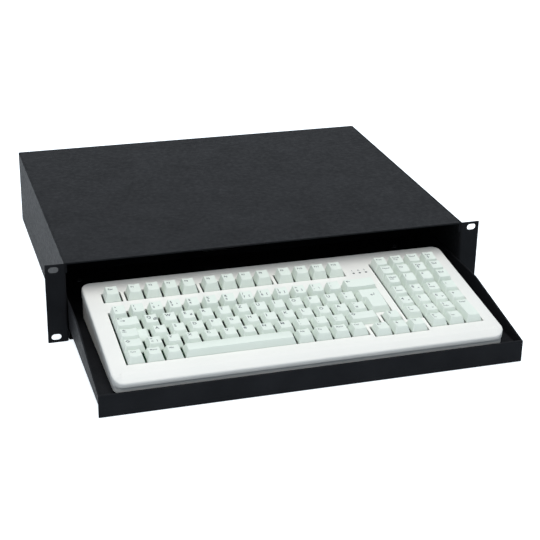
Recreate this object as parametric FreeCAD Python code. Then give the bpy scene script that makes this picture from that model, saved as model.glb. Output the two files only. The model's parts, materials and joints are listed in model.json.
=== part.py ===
# Rack keyboard tray: a two-unit steel housing with rack ears, a pull-out tray on
# telescopic ball slides, and a compact keyboard lying in the tray.
#
# Millimetres. X runs to the right, Y to the rear and Z up. The origin is the centre of the
# four rack slots, in the plane where the ears' backs meet the rack rails. The tray is
# modelled as photographed, pulled part of the way out.

import FreeCAD
import Part

import math
import os

V = FreeCAD.Vector

# Rack panel
PANEL_WIDTH = 482.6
PANEL_HEIGHT = 88.1
EAR_WIDTH = 20.0
SLOT_EDGE_X = 8.75
SLOT_EDGE_Z = 5.95
SLOT_LENGTH = 10.5
SLOT_WIDTH = 7.0

# Housing, folded from one gauge of sheet
SHEET = 1.5
BEND = 1.0
HOUSING_DEPTH = 353.5
FLANGE = 11.0
PAN_SETBACK = 1.0
REAR_RETURN = 12.0
CABLE_EXIT_WIDTH = 80.0
CABLE_EXIT_HEIGHT = 24.0
CABLE_EXIT_LEVEL = 46.0
REAR_SCREW_D = 4.0
SCREW_CLEARANCE = 0.15

# Telescopic slides, lying flat between the pan and the tray
SLIDE_HEIGHT = 12.7
SLIDE_INSET = 29.0
SLIDE_WALL = 1.2
OUTER_RIM_DROP = 2.5
MIDDLE_RIM_DROP = 2.3
MIDDLE_WEB_RISE = 2.3
INNER_FLANGE_RISE = 4.4
SLIDE_FRONT_GAP = 6.0
SLIDE_OUTER_LENGTH = 300.0
MIDDLE_SHORTER = 20.0
INNER_SHORTER = 5.0
MIDDLE_SETBACK = 6.0
INNER_SETBACK = 1.0
BALL_D = 3.0
RACE_CLEARANCE = 0.1
RACE_WALL = 1.0
OUTER_BALL_OFFSET = 14.8
INNER_BALL_OFFSET = 10.6
PLATE_GAP = 2.0
CAGE_LENGTH = 140.0
CAGE_SETBACK = 70.0
CAGE_STRIP = 0.8
CAGE_HEIGHT = 4.0
CAGE_CLEARANCE = 0.05
BALLS_PER_ROW = 2
RIVET_D = 4.0
RIVET_HEAD_D = 7.0
RIVET_HEAD_HEIGHT = 0.7
BUMPER_LENGTH = 6.0
BUMPER_WIDTH = 16.0
BUMPER_HEIGHT = 7.0
BUMPER_GAP = 0.3

# Tray
TRAY_CLEARANCE = 0.8
TRAY_DEPTH = 310.0
TRAY_OUT = 166.0
LIP_BOTTOM = 0.5
LIP_TOP = 24.0
WALL_TOP = 45.0
TAPER_END = 117.0
REAR_WALL_TOP = 40.0
CABLE_NOTCH_SILL = 6.0
TRAY_SCREW_D = 4.0
TRAY_SCREW_HEAD_HEIGHT = 1.6
TRAY_SCREW_TIP = 0.6

# Keyboard, in its own frame: x right, y up the slope and z square to the key plane, from
# the front left corner of the key field
KEY_PITCH = 19.05
FIELD_COLUMNS = 19.5
FIELD_ROWS = 7
KEY_GAP = 0.95
KEYBOARD_SLOPE = 6.46
KEYBOARD_SHIFT = -0.5
KEY_FIELD_SETBACK = 28.4
KEY_FIELD_HEIGHT = 37.5
CASE_LEFT = 17.8
CASE_RIGHT = 15.7
CASE_FRONT = 22.5
CASE_REAR = 24.75
CASE_WALL = 2.5
CASE_CORNER_R = 9.0
CASE_FRONT_R = 8.0
CASE_EDGE_R = 3.0
PARTING_DEPTH = 11.0
LOWER_INSET = 1.0
LOWER_WALL = 2.0
LOWER_FLOOR = 1.8
LOWER_EDGE_BEVEL = 1.2
FOOT_HEIGHT = 2.6
FOOT_D = 12.0
FOOT_INSET = 22.0
OPENING_MARGIN = 0.4

# Keycaps: heights above the case of a cap's front and rear top edges, by row
BOTTOM_FRONT_HEIGHT = 7.2
BOTTOM_REAR_HEIGHT = 5.6
LOWER_FRONT_HEIGHT = 6.5
LOWER_REAR_HEIGHT = 5.4
HOME_FRONT_HEIGHT = 5.6
HOME_REAR_HEIGHT = 5.3
UPPER_FRONT_HEIGHT = 6.3
UPPER_REAR_HEIGHT = 6.6
NUMBER_FRONT_HEIGHT = 8.4
NUMBER_REAR_HEIGHT = 9.3
SKIRT_DEPTH = 2.5
CAP_FRONT_TAPER = 2.9
CAP_REAR_TAPER = 1.5
CAP_SIDE_TAPER = 3.3
CAP_DISH = 0.8
CAP_WALL = 1.3
CAP_ROOF = 1.9
CAPS_STEP_WIDTH = 1.25
CAPS_STEP_DROP = 2.6

# Key switches on the circuit board
SWITCH_BASE = 14.0
SWITCH_TOP = 10.6
SWITCH_HEIGHT = 11.6
SWITCH_TOP_DEPTH = 2.0
KEY_TRAVEL = 4.0
STEM_WIDTH = 6.4
STEM_DEPTH = 5.2
STEM_CLEARANCE = 0.25
STEM_REACH = 1.5
STEM_CROWN = 1.35
SWITCH_BORE_SPARE = 0.5
BOARD_THICKNESS = 1.6
BOARD_MARGIN = 6.0
POST_D = 7.0
POST_HOLE_DEPTH = 2.0
BOARD_SCREW_TIP = 1.6
BOARD_SCREW_D = 2.5
BOARD_SCREW_HEAD_D = 5.0
BOARD_SCREW_HEAD_HEIGHT = 1.6
LED_D = 2.6
LED_CLEARANCE = 0.15
LED_RISE = 0.05
GROMMET_D = 10.0
GROMMET_BORE_D = 5.0
GROMMET_FLANGE_D = 13.0
GROMMET_FLANGE = 1.5
GROMMET_HEIGHT = 12.0

# Sides of small round pieces and of their holes, which are flat so that repeats stay light
FASTENER_SIDES = 6
ROUND_SIDES = 10
BALL_SIDES = 6
BALL_RINGS = (-60, -20, 20, 60)
DISH_FACETS = 5

# Levels above the base, and places that follow from the sizes above
BASE_Z = -PANEL_HEIGHT / 2
SLOT_PITCH_X = PANEL_WIDTH - 2 * SLOT_EDGE_X
SLOT_PITCH_Z = PANEL_HEIGHT - 2 * SLOT_EDGE_Z
HOUSING_WIDTH = PANEL_WIDTH - 2 * EAR_WIDTH
PAN_TOP = SHEET
TRAY_FLOOR_UNDER = PAN_TOP + SLIDE_HEIGHT
TRAY_FLOOR = TRAY_FLOOR_UNDER + SHEET
INNER_HALF_WIDTH = HOUSING_WIDTH / 2 - SHEET
TRAY_HALF_WIDTH = INNER_HALF_WIDTH - TRAY_CLEARANCE
SLIDE_X = TRAY_HALF_WIDTH - SLIDE_INSET
TRAY_FRONT_Y = -SHEET - TRAY_OUT
TRAY_REAR_Y = TRAY_FRONT_Y + TRAY_DEPTH
SLIDE_MIDDLE_LENGTH = SLIDE_OUTER_LENGTH - MIDDLE_SHORTER
SLIDE_INNER_LENGTH = SLIDE_OUTER_LENGTH - INNER_SHORTER
SLIDE_REST = {"outer": 0.0, "middle": -TRAY_OUT / 2, "inner": -TRAY_OUT}
CASE_WIDTH = CASE_LEFT + FIELD_COLUMNS * KEY_PITCH + CASE_RIGHT
CASE_DEPTH = CASE_FRONT + FIELD_ROWS * KEY_PITCH + CASE_REAR
KEY_FIELD_X = KEYBOARD_SHIFT - CASE_WIDTH / 2 + CASE_LEFT
KEY_FIELD_Y = TRAY_FRONT_Y + KEY_FIELD_SETBACK
CASE_UNDER = TRAY_FLOOR + FOOT_HEIGHT
BOARD_TOP = -SWITCH_TOP_DEPTH - SWITCH_HEIGHT
BALL_LEVEL = SLIDE_HEIGHT / 2
ROW_HEIGHTS = {
    "bottom": (BOTTOM_FRONT_HEIGHT, BOTTOM_REAR_HEIGHT),
    "lower": (LOWER_FRONT_HEIGHT, LOWER_REAR_HEIGHT),
    "home": (HOME_FRONT_HEIGHT, HOME_REAR_HEIGHT),
    "upper": (UPPER_FRONT_HEIGHT, UPPER_REAR_HEIGHT),
    "number": (NUMBER_FRONT_HEIGHT, NUMBER_REAR_HEIGHT),
}

# Openings in the case, as groups of rectangles (u0, u1, v0, v1) in key pitches
OPENINGS = {
    "letters": [(0, 13, 0, 1), (0, 14, 1, 2), (0, 15, 2, 5)],
    "arrows": [(13.25, 16.25, -0.25, 0.75), (14.25, 15.25, 0.75, 1.75)],
    "pad": [(15.5, 19.5, 1, 7), (16.5, 19.5, 0, 1)],
    "escape": [(0, 1, 6, 7)],
    "functions_left": [(1.25, 5.25, 6, 7)],
    "functions_middle": [(5.5, 9.5, 6, 7)],
    "functions_right": [(9.75, 13.75, 6, 7)],
}

# Keys that press as one group: node, row profile, v of the row, first u, and the widths
KEY_GROUPS = [
    ("key_escape", "number", 6, 0, [1]),
    ("function_keys_left", "number", 6, 1.25, [1] * 4),
    ("function_keys_middle", "number", 6, 5.5, [1] * 4),
    ("function_keys_right", "number", 6, 9.75, [1] * 4),
    ("number_keys", "number", 4, 0, [1] * 13),
    ("key_backspace", "number", 4, 13, [2]),
    ("key_tab", "upper", 3, 0, [1.5]),
    ("upper_letter_keys", "upper", 3, 1.5, [1] * 12),
    ("home_letter_keys", "home", 2, 1.75, [1] * 12),
    ("key_shift_left", "lower", 1, 0, [1.25]),
    ("lower_letter_keys", "lower", 1, 1.25, [1] * 11),
    ("key_shift_right", "lower", 1, 12.25, [1.75]),
    ("modifier_keys_left", "bottom", 0, 0, [1] * 3),
    ("modifier_keys_right", "bottom", 0, 9, [1] * 4),
    ("key_arrow_up", "lower", 0.75, 14.25, [1]),
    ("arrow_keys_low", "bottom", -0.25, 13.25, [1] * 3),
    ("pad_keys_row_1", "bottom", 0, 16.5, [1] * 2),
    ("pad_keys_row_2", "lower", 1, 15.5, [1] * 3),
    ("pad_keys_row_3", "home", 2, 15.5, [1] * 4),
    ("pad_keys_row_4", "upper", 3, 15.5, [1] * 4),
    ("pad_keys_row_5", "number", 4, 15.5, [1] * 4),
    ("pad_keys_row_6", "number", 5, 15.5, [1] * 4),
    ("pad_keys_row_7", "number", 6, 15.5, [1] * 4),
]
CAPS_LOCK = (0, 2, 1.75)
SPACE_BAR = (3, 0, 6)
ENTER_LOW = (13.75, 15, 2, 4)
ENTER_HIGH = (13.5, 15, 3, 4)
PAD_ENTER = (18.5, 19.5, 0, 2)
LED_PLACES = [(14.31, 6.22), (14.68, 6.22), (15.05, 6.22)]
POST_PLACES = [(0.5, 5.5), (7.5, 5.5), (14.6, 5.5), (15.25, 2.5), (19.5, -0.15), (13.12, 0.0)]


# General shapes

def box(x0, x1, y0, y1, z0, z1):
    """A block between two corners."""
    return Part.makeBox(x1 - x0, y1 - y0, z1 - z0, V(x0, y0, z0))


def polygon(diameter, centre, axis, sides):
    """A closed ring of points on a circle round one of the main axes."""
    corner = V(axis.y, axis.z, axis.x).normalize() * (diameter / 2)
    return [centre + FreeCAD.Rotation(axis, 360 * (i % sides) / sides).multVec(corner)
            for i in range(sides + 1)]


def flat(points):
    """A flat face inside a closed ring of points."""
    return Part.Face(Part.makePolygon(points))


def rod(diameter, start, run, sides=FASTENER_SIDES):
    """A pin or a hole along a run, with a few flat sides."""
    return flat(polygon(diameter, start, run, sides)).extrude(run)


def upright(diameter, x, y, z0, z1, sides=FASTENER_SIDES):
    """A rod that stands on height z0."""
    return rod(diameter, V(x, y, z0), V(0, 0, z1 - z0), sides)


def lengthwise(diameter, x, z, y0, y1, sides=FASTENER_SIDES):
    """A rod that lies from front to rear."""
    return rod(diameter, V(x, y0, z), V(0, y1 - y0, 0), sides)


def fuse(shapes):
    """One solid from several that meet."""
    whole = shapes[0]
    for shape in shapes[1:]:
        whole = whole.fuse(shape)
    return whole.removeSplitter()


def rounded_face(corners, place):
    """A face through (a, b, radius) corners, each turned by a tangent arc of its radius."""
    edges = []
    ends = []
    count = len(corners)
    for i in range(count):
        a0, b0, _ = corners[i - 1]
        a, b, radius = corners[i]
        a1, b1, _ = corners[(i + 1) % count]
        corner = V(a, b, 0)
        back = (V(a0, b0, 0) - corner).normalize()
        on = (V(a1, b1, 0) - corner).normalize()
        if radius <= 0:
            ends.append((corner, None, corner))
            continue
        half = back.getAngle(on) / 2
        reach = radius / math.tan(half)
        bisector = (back + on).normalize()
        crown = corner + bisector * (radius / math.sin(half) - radius)
        ends.append((corner + back * reach, crown, corner + on * reach))
    for i in range(count):
        start, crown, end = ends[i]
        if crown is not None:
            edges.append(Part.Arc(place(start), place(crown), place(end)).toShape())
        nearest = ends[(i + 1) % count][0]
        if (nearest - end).Length > 1e-6:
            edges.append(Part.LineSegment(place(end), place(nearest)).toShape())
    return Part.Face(Part.Wire(edges))


def plan_face(corners, z):
    """A rounded face lying flat at height z."""
    return rounded_face(corners, lambda p: V(p.x, p.y, z))


def front_face(corners, y):
    """A rounded face of (x, z) corners, standing square to Y."""
    return rounded_face(corners, lambda p: V(p.x, y, p.y))


def side_face(corners, x):
    """A rounded face of (y, z) corners, standing square to X."""
    return rounded_face(corners, lambda p: V(x, p.x, p.y))


def rectangle(x0, x1, y0, y1, radius):
    """Corners of a rounded rectangle."""
    return [(x0, y0, radius), (x1, y0, radius), (x1, y1, radius), (x0, y1, radius)]


def level(height):
    """Z of a height above the base."""
    return BASE_Z + height


def mirrored(shape):
    """The same piece on the other side of the middle plane."""
    return shape.mirror(V(0, 0, 0), V(1, 0, 0))


# Housing

def rear_screw_places():
    """(x, z) of the screws through the side plates' rear returns."""
    x = INNER_HALF_WIDTH - REAR_RETURN / 2
    heights = (PANEL_HEIGHT * 0.25, PANEL_HEIGHT * 0.75)
    return [(side * x, level(h)) for side in (-1, 1) for h in heights]


def rack_slot(x, z):
    """A cutter for one slot of the rack ears."""
    radius = SLOT_WIDTH / 2
    reach = SLOT_LENGTH / 2 - radius
    front = -2 * SHEET
    pieces = [box(x - reach, x + reach, front, SHEET, z - radius, z + radius)]
    for end_x in (x - reach, x + reach):
        pieces.append(Part.makeCylinder(radius, SHEET - front, V(end_x, front, z), V(0, 1, 0)))
    return fuse(pieces)


def side_plate_right():
    """Side wall, rack ear and rear return folded from one sheet."""
    outer = HOUSING_WIDTH / 2
    edge = PANEL_WIDTH / 2
    rear = HOUSING_DEPTH
    wide = BEND + SHEET
    fold = [
        (edge, -SHEET, 0), (edge, 0, 0), (outer, 0, BEND), (outer, rear, wide),
        (outer - SHEET - REAR_RETURN, rear, 0), (outer - SHEET - REAR_RETURN, rear - SHEET, 0),
        (outer - SHEET, rear - SHEET, BEND), (outer - SHEET, -SHEET, wide),
    ]
    plate = plan_face(fold, BASE_Z).extrude(V(0, 0, PANEL_HEIGHT))
    for z in (-SLOT_PITCH_Z / 2, SLOT_PITCH_Z / 2):
        plate = plate.cut(rack_slot(SLOT_PITCH_X / 2, z))
    hole = REAR_SCREW_D + 2 * SCREW_CLEARANCE
    for x, z in rear_screw_places():
        plate = plate.cut(lengthwise(hole, x, z, rear - 2 * SHEET, rear + SHEET))
    return plate


def flanged_sheet(root, edge, y0, y1):
    """A sheet between the side plates with both sides folded from its root towards an edge."""
    half = INNER_HALF_WIDTH
    inside = half - SHEET
    face = root + SHEET if edge > root else root - SHEET
    corners = [
        (-half, edge, 0), (-half, root, BEND + SHEET), (half, root, BEND + SHEET),
        (half, edge, 0), (inside, edge, 0), (inside, face, BEND), (-inside, face, BEND),
        (-inside, edge, 0),
    ]
    return front_face(corners, y0).extrude(V(0, y1 - y0, 0))


def top_cover():
    """Top sheet with its sides folded down inside the side plates."""
    top = level(PANEL_HEIGHT)
    return flanged_sheet(top, top - FLANGE, 0, HOUSING_DEPTH - SHEET - BEND)


def rivet_places():
    """(x, y) of the rivets that hold the outer slide members to the pan."""
    start = SLIDE_FRONT_GAP
    ys = [start + SLIDE_OUTER_LENGTH * share for share in (0.1, 0.5, 0.9)]
    return [(side * SLIDE_X, y) for side in (-1, 1) for y in ys]


def base_pan():
    """Floor with low side flanges and a rear wall that has the cable exit."""
    rear = HOUSING_DEPTH - SHEET
    wide = BEND + SHEET
    half = INNER_HALF_WIDTH - wide
    top = level(PANEL_HEIGHT) - SHEET
    floor = flanged_sheet(BASE_Z, level(FLANGE), PAN_SETBACK, rear - wide)
    fold = [
        (rear - FLANGE, BASE_Z, 0), (rear, BASE_Z, wide), (rear, top, wide),
        (rear - FLANGE, top, 0), (rear - FLANGE, top - SHEET, 0),
        (rear - SHEET, top - SHEET, BEND), (rear - SHEET, BASE_Z + SHEET, BEND),
        (rear - FLANGE, BASE_Z + SHEET, 0),
    ]
    pan = fuse([floor, side_face(fold, -half).extrude(V(2 * half, 0, 0))])
    low = level(CABLE_EXIT_LEVEL)
    exit_half = CABLE_EXIT_WIDTH / 2
    slot = rectangle(-exit_half, exit_half, low, low + CABLE_EXIT_HEIGHT, CABLE_EXIT_HEIGHT / 3)
    pan = pan.cut(front_face(slot, rear - 2 * SHEET).extrude(V(0, 3 * SHEET, 0)))
    for x, z in rear_screw_places():
        pan = pan.cut(lengthwise(REAR_SCREW_D, x, z, rear - 2 * SHEET, rear + SHEET))
    for x, y in rivet_places():
        pan = pan.cut(upright(RIVET_D, x, y, BASE_Z - SHEET, level(PAN_TOP) + SHEET))
    return pan


def rear_screws():
    """Pan-head screws through the side plates' returns into the pan's rear wall."""
    screws = []
    rear = HOUSING_DEPTH
    for x, z in rear_screw_places():
        head = lengthwise(2 * REAR_SCREW_D, x, z, rear, rear + REAR_SCREW_D / 2)
        shank = lengthwise(REAR_SCREW_D, x, z, rear - 3 * SHEET, rear)
        screws.append(fuse([head, shank]))
    return Part.makeCompound(screws)


# Telescopic slides

def member_face(points, x):
    """A slide member's section, from (across, up) corners."""
    return front_face([(x + a, level(PAN_TOP) + b, 0) for a, b in points], 0)


def channel(half, plate, web, low, high, x, web_up):
    """A U channel: two plates of the given thickness joined by a web."""
    w0, w1 = (high - web, high) if web_up else (low, low + web)
    inside = half - plate
    points = [(-half, low), (half, low), (half, high), (-half, high)]
    body = member_face(points, x).extrude(V(0, 1, 0))
    hole_low, hole_high = (low, w0) if web_up else (w1, high)
    hole = [(-inside, hole_low), (inside, hole_low), (inside, hole_high), (-inside, hole_high)]
    return body.cut(member_face(hole, x).extrude(V(0, 1, 0)))


def race_cutters(offset, x):
    """Two grooves for rows of balls."""
    radius = BALL_D / 2 + RACE_CLEARANCE
    z = level(PAN_TOP + BALL_LEVEL)
    return [Part.makeCylinder(radius, 1, V(x + side * offset, 0, z), V(0, 1, 0))
            for side in (-1, 1)]


def slide_section(name, x):
    """One millimetre of a slide member: outer, middle or inner."""
    reach = BALL_D / 2 + RACE_CLEARANCE
    if name == "outer":
        half = OUTER_BALL_OFFSET + reach + RACE_WALL
        plate = half - OUTER_BALL_OFFSET - PLATE_GAP / 2
        high = SLIDE_HEIGHT - OUTER_RIM_DROP
        section = channel(half, plate, SLIDE_WALL, 0, high, x, False)
        offsets = [OUTER_BALL_OFFSET]
    elif name == "middle":
        half = OUTER_BALL_OFFSET - PLATE_GAP / 2
        plate = half - INNER_BALL_OFFSET - PLATE_GAP / 2
        high = SLIDE_HEIGHT - MIDDLE_RIM_DROP
        section = channel(half, plate, SLIDE_WALL, MIDDLE_WEB_RISE, high, x, False)
        offsets = [OUTER_BALL_OFFSET, INNER_BALL_OFFSET]
    else:
        half = INNER_BALL_OFFSET - PLATE_GAP / 2
        plate = half - (INNER_BALL_OFFSET - reach - RACE_WALL)
        section = channel(half, plate, SLIDE_WALL, INNER_FLANGE_RISE, SLIDE_HEIGHT, x, True)
        offsets = [INNER_BALL_OFFSET]
    for offset in offsets:
        for cutter in race_cutters(offset, x):
            section = section.cut(cutter)
    return section


def slide_member(name, x, y0, length):
    """A slide member, drawn from its section."""
    section = slide_section(name, x)
    faces = [f for f in section.Faces if abs(f.CenterOfMass.y) < 1e-6]
    member = faces[0].extrude(V(0, length, 0))
    member.translate(V(0, y0, 0))
    return member


def slide_outer(x):
    """The member riveted to the pan."""
    member = slide_member("outer", x, SLIDE_FRONT_GAP, SLIDE_OUTER_LENGTH)
    for rx, ry in rivet_places():
        if abs(rx - x) < 1:
            web_top = level(PAN_TOP + SLIDE_WALL)
            member = member.cut(upright(RIVET_D, rx, ry, level(PAN_TOP) - 1, web_top + 1))
    return member


def slide_middle(x):
    """The member between the two, half as far out as the tray."""
    y = SLIDE_FRONT_GAP + MIDDLE_SETBACK + SLIDE_REST["middle"]
    return slide_member("middle", x, y, SLIDE_MIDDLE_LENGTH)


def inner_front():
    """Y of the front end of the inner members, under the tray."""
    return SLIDE_FRONT_GAP + INNER_SETBACK + SLIDE_REST["inner"]


def tray_screw_places():
    """(x, y) of the screws that hold the tray to the inner members."""
    ys = [inner_front() + SLIDE_INNER_LENGTH * share for share in (0.08, 0.68, 0.92)]
    return [(side * SLIDE_X, y) for side in (-1, 1) for y in ys]


def slide_inner(x):
    """The member screwed under the tray."""
    member = slide_member("inner", x, inner_front(), SLIDE_INNER_LENGTH)
    for sx, sy in tray_screw_places():
        if abs(sx - x) < 1:
            under = level(TRAY_FLOOR_UNDER)
            low = under - 2 * SLIDE_WALL
            member = member.cut(upright(TRAY_SCREW_D, sx, sy, low, under + 1))
    return member


def ball(x, y, z):
    """A ball, drawn through a few flat-sided rings."""
    rings = []
    for latitude in BALL_RINGS:
        turn = math.radians(latitude)
        centre = V(x + BALL_D / 2 * math.sin(turn), y, z)
        rings.append(polygon(BALL_D * math.cos(turn), centre, V(1, 0, 0), BALL_SIDES))
    faces = [flat(rings[0]), flat(rings[-1])]
    for near, far in zip(rings, rings[1:]):
        for i in range(BALL_SIDES):
            faces.append(flat([near[i], near[i + 1], far[i + 1], far[i], near[i]]))
    return Part.Solid(Part.Shell(faces))


def ball_cage(x, offset, travel_share):
    """Two strips of balls, one each side, that roll at a share of the tray's travel."""
    y0 = SLIDE_FRONT_GAP + CAGE_SETBACK - travel_share * TRAY_OUT
    z = level(PAN_TOP + BALL_LEVEL)
    ball_ys = [y0 + CAGE_LENGTH * (i + 0.5) / BALLS_PER_ROW for i in range(BALLS_PER_ROW)]
    pieces = []
    for side in (-1, 1):
        bx = x + side * offset
        strip = box(bx - CAGE_STRIP / 2, bx + CAGE_STRIP / 2, y0, y0 + CAGE_LENGTH,
                    z - CAGE_HEIGHT / 2, z + CAGE_HEIGHT / 2)
        for y in ball_ys:
            start = V(bx - CAGE_STRIP, y, z)
            window = rod(BALL_D + 2 * CAGE_CLEARANCE, start, V(2 * CAGE_STRIP, 0, 0), BALL_SIDES)
            strip = strip.cut(window)
            pieces.append(ball(bx, y, z))
        pieces.append(strip)
    return Part.makeCompound(pieces)


def slide_rivets():
    """Rivets through the outer members and the pan, flush below."""
    rivets = []
    web_top = level(PAN_TOP + SLIDE_WALL)
    for x, y in rivet_places():
        head = upright(RIVET_HEAD_D, x, y, web_top, web_top + RIVET_HEAD_HEIGHT)
        rivets.append(fuse([head, upright(RIVET_D, x, y, BASE_Z, web_top)]))
    return Part.makeCompound(rivets)


def slide_bumpers():
    """Rubber stops behind the middle members when the tray is shut."""
    rear = SLIDE_FRONT_GAP + MIDDLE_SETBACK + SLIDE_MIDDLE_LENGTH + BUMPER_GAP
    low = level(PAN_TOP + SLIDE_WALL)
    bumpers = []
    for side in (-1, 1):
        x = side * SLIDE_X
        bumpers.append(box(x - BUMPER_WIDTH / 2, x + BUMPER_WIDTH / 2,
                           rear, rear + BUMPER_LENGTH, low, low + BUMPER_HEIGHT))
    return Part.makeCompound(bumpers)


# Tray

def tray():
    """Floor, hemmed front lip and rear wall folded from one sheet, with tapered side walls."""
    front = TRAY_FRONT_Y
    rear = TRAY_REAR_Y
    floor = level(TRAY_FLOOR)
    under = level(TRAY_FLOOR_UNDER)
    lip_top = level(LIP_TOP)
    lip_low = level(LIP_BOTTOM)
    rear_top = level(REAR_WALL_TOP)
    hem_r = SHEET - 0.01
    fold = [
        (front, lip_low, 0), (front, lip_top, hem_r), (front + 2 * SHEET, lip_top, hem_r),
        (front + 2 * SHEET, floor, BEND), (rear - SHEET, floor, BEND),
        (rear - SHEET, rear_top, 0), (rear, rear_top, 0), (rear, under, BEND + SHEET),
        (front + SHEET, under, 0), (front + SHEET, lip_low, 0),
    ]
    half = TRAY_HALF_WIDTH
    sheet = side_face(fold, -half).extrude(V(2 * half, 0, 0))
    wall_top = level(WALL_TOP)
    wall = [
        (front + SHEET, under, 0), (front + SHEET, lip_top, 0),
        (front + TAPER_END, wall_top, 12.0), (rear, wall_top, 4.0), (rear, under, BEND + SHEET),
    ]
    left = side_face(wall, -half).extrude(V(SHEET, 0, 0))
    right = side_face(wall, half - SHEET).extrude(V(SHEET, 0, 0))
    body = fuse([sheet, left, right])
    notch = CABLE_EXIT_WIDTH / 2
    body = body.cut(box(-notch, notch, rear - 2 * SHEET, rear + SHEET,
                        floor + CABLE_NOTCH_SILL, rear_top + SHEET))
    for x, y in tray_screw_places():
        body = body.cut(upright(TRAY_SCREW_D, x, y, under - 1, floor + 1))
    return body


def tray_screws():
    """Low-head screws through the tray floor into the inner members."""
    screws = []
    floor = level(TRAY_FLOOR)
    tip = level(TRAY_FLOOR_UNDER) - SLIDE_WALL - TRAY_SCREW_TIP
    for x, y in tray_screw_places():
        head = upright(2 * TRAY_SCREW_D, x, y, floor, floor + TRAY_SCREW_HEAD_HEIGHT)
        screws.append(fuse([head, upright(TRAY_SCREW_D, x, y, tip, floor)]))
    return Part.makeCompound(screws)


# Keyboard case

def seat(shape):
    """Carry a shape from the keyboard's frame to its place in the tray."""
    placed = shape.copy()
    turn = FreeCAD.Rotation(V(1, 0, 0), KEYBOARD_SLOPE)
    place = V(KEY_FIELD_X, KEY_FIELD_Y, level(KEY_FIELD_HEIGHT))
    placed.Placement = FreeCAD.Placement(place, turn)
    return placed


def case_block(inset, low, high):
    """The upper case's outer form, drawn in by an inset on every side."""
    x0 = -CASE_LEFT + inset
    x1 = CASE_WIDTH - CASE_LEFT - inset
    y0 = -CASE_FRONT + inset
    y1 = CASE_DEPTH - CASE_FRONT - inset
    corner_r = CASE_CORNER_R - inset
    front_r = CASE_FRONT_R - inset
    edge_r = max(CASE_EDGE_R - inset, 0.5)
    plan = plan_face(rectangle(x0, x1, y0, y1, corner_r), low).extrude(V(0, 0, high - low))
    side = [(y0, low, 0), (y1, low, 0), (y1, high, edge_r), (y0, high, front_r)]
    front = [(x0, low, 0), (x1, low, 0), (x1, high, edge_r), (x0, high, edge_r)]
    along = side_face(side, x0).extrude(V(x1 - x0, 0, 0))
    across = front_face(front, y0).extrude(V(0, y1 - y0, 0))
    return plan.common(along).common(across)


def key_area(rectangles, low, high):
    """A block over an opening's rectangles, with the opening's margin all round."""
    blocks = []
    for u0, u1, v0, v1 in rectangles:
        blocks.append(box(
            u0 * KEY_PITCH - OPENING_MARGIN, u1 * KEY_PITCH + OPENING_MARGIN,
            v0 * KEY_PITCH - OPENING_MARGIN, v1 * KEY_PITCH + OPENING_MARGIN, low, high))
    return fuse(blocks)


def keyboard_top_case():
    """Upper shell, open over each group of keys and drilled for the lights."""
    shell = case_block(0, -PARTING_DEPTH, 0)
    shell = shell.cut(case_block(CASE_WALL, -PARTING_DEPTH - 1, -CASE_WALL))
    for rectangles in OPENINGS.values():
        shell = shell.cut(key_area(rectangles, -CASE_WALL - 1, 1))
    for u, v in LED_PLACES:
        hole = upright(LED_D + 2 * LED_CLEARANCE, u * KEY_PITCH, v * KEY_PITCH,
                       -CASE_WALL - 1, 1, ROUND_SIDES)
        shell = shell.cut(hole)
    return seat(shell)


def lower_block(inset, low):
    """The lower case's outer form from a height above the base up past the parting plane."""
    turn = math.radians(KEYBOARD_SLOPE)
    rise = PARTING_DEPTH * math.sin(turn)
    x0 = KEY_FIELD_X - CASE_LEFT + inset
    x1 = x0 + CASE_WIDTH - 2 * inset
    y0 = KEY_FIELD_Y - CASE_FRONT * math.cos(turn) + rise + inset
    y1 = y0 + CASE_DEPTH * math.cos(turn) - 2 * inset
    plan = plan_face(rectangle(x0, x1, y0, y1, CASE_CORNER_R - inset), level(low))
    return plan.extrude(V(0, 0, PANEL_HEIGHT))


def above_parting():
    """Everything above the plane where the two case halves meet."""
    reach = 2 * CASE_WIDTH
    return seat(box(-reach, reach, -reach, reach, -PARTING_DEPTH, reach))


def under_board():
    """Everything above the plane of the circuit board's underside."""
    reach = 2 * CASE_WIDTH
    return seat(box(-reach, reach, -reach, reach, BOARD_TOP - BOARD_THICKNESS, reach))


def seated_point(u, v, z):
    """Where a point of the key field lies in the tray."""
    turn = FreeCAD.Rotation(V(1, 0, 0), KEYBOARD_SLOPE)
    place = V(KEY_FIELD_X, KEY_FIELD_Y, level(KEY_FIELD_HEIGHT))
    return FreeCAD.Placement(place, turn).multVec(V(u * KEY_PITCH, v * KEY_PITCH, z))


def keyboard_bottom_case():
    """Lower shell with a level floor, posts under the circuit board and the cable inlet."""
    outer = lower_block(LOWER_INSET, CASE_UNDER)
    bottom = [e for e in outer.Edges if abs(e.CenterOfMass.z - level(CASE_UNDER)) < 1e-3]
    outer = outer.makeChamfer(LOWER_EDGE_BEVEL, bottom)
    hollow = lower_block(LOWER_INSET + LOWER_WALL, CASE_UNDER + LOWER_FLOOR)
    shell = outer.cut(hollow).cut(above_parting())
    for u, v in POST_PLACES:
        foot = seated_point(u, v, BOARD_TOP - BOARD_THICKNESS)
        low = level(CASE_UNDER) + LOWER_FLOOR / 2
        post = upright(POST_D, foot.x, foot.y, low, foot.z + POST_D)
        shell = shell.fuse(post.cut(under_board()))
    shell = shell.removeSplitter()
    for u, v in POST_PLACES:
        shell = shell.cut(screw_hole(u, v, BOARD_SCREW_D))
    return shell.cut(grommet_ring(GROMMET_D, -2 * LOWER_WALL, 2 * LOWER_WALL))


def screw_hole(u, v, diameter):
    """A hole square to the board for a board screw."""
    under = BOARD_TOP - BOARD_THICKNESS
    tip = under - POST_HOLE_DEPTH
    high = BOARD_TOP + BOARD_THICKNESS
    return seat(upright(diameter, u * KEY_PITCH, v * KEY_PITCH, tip, high))


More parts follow.
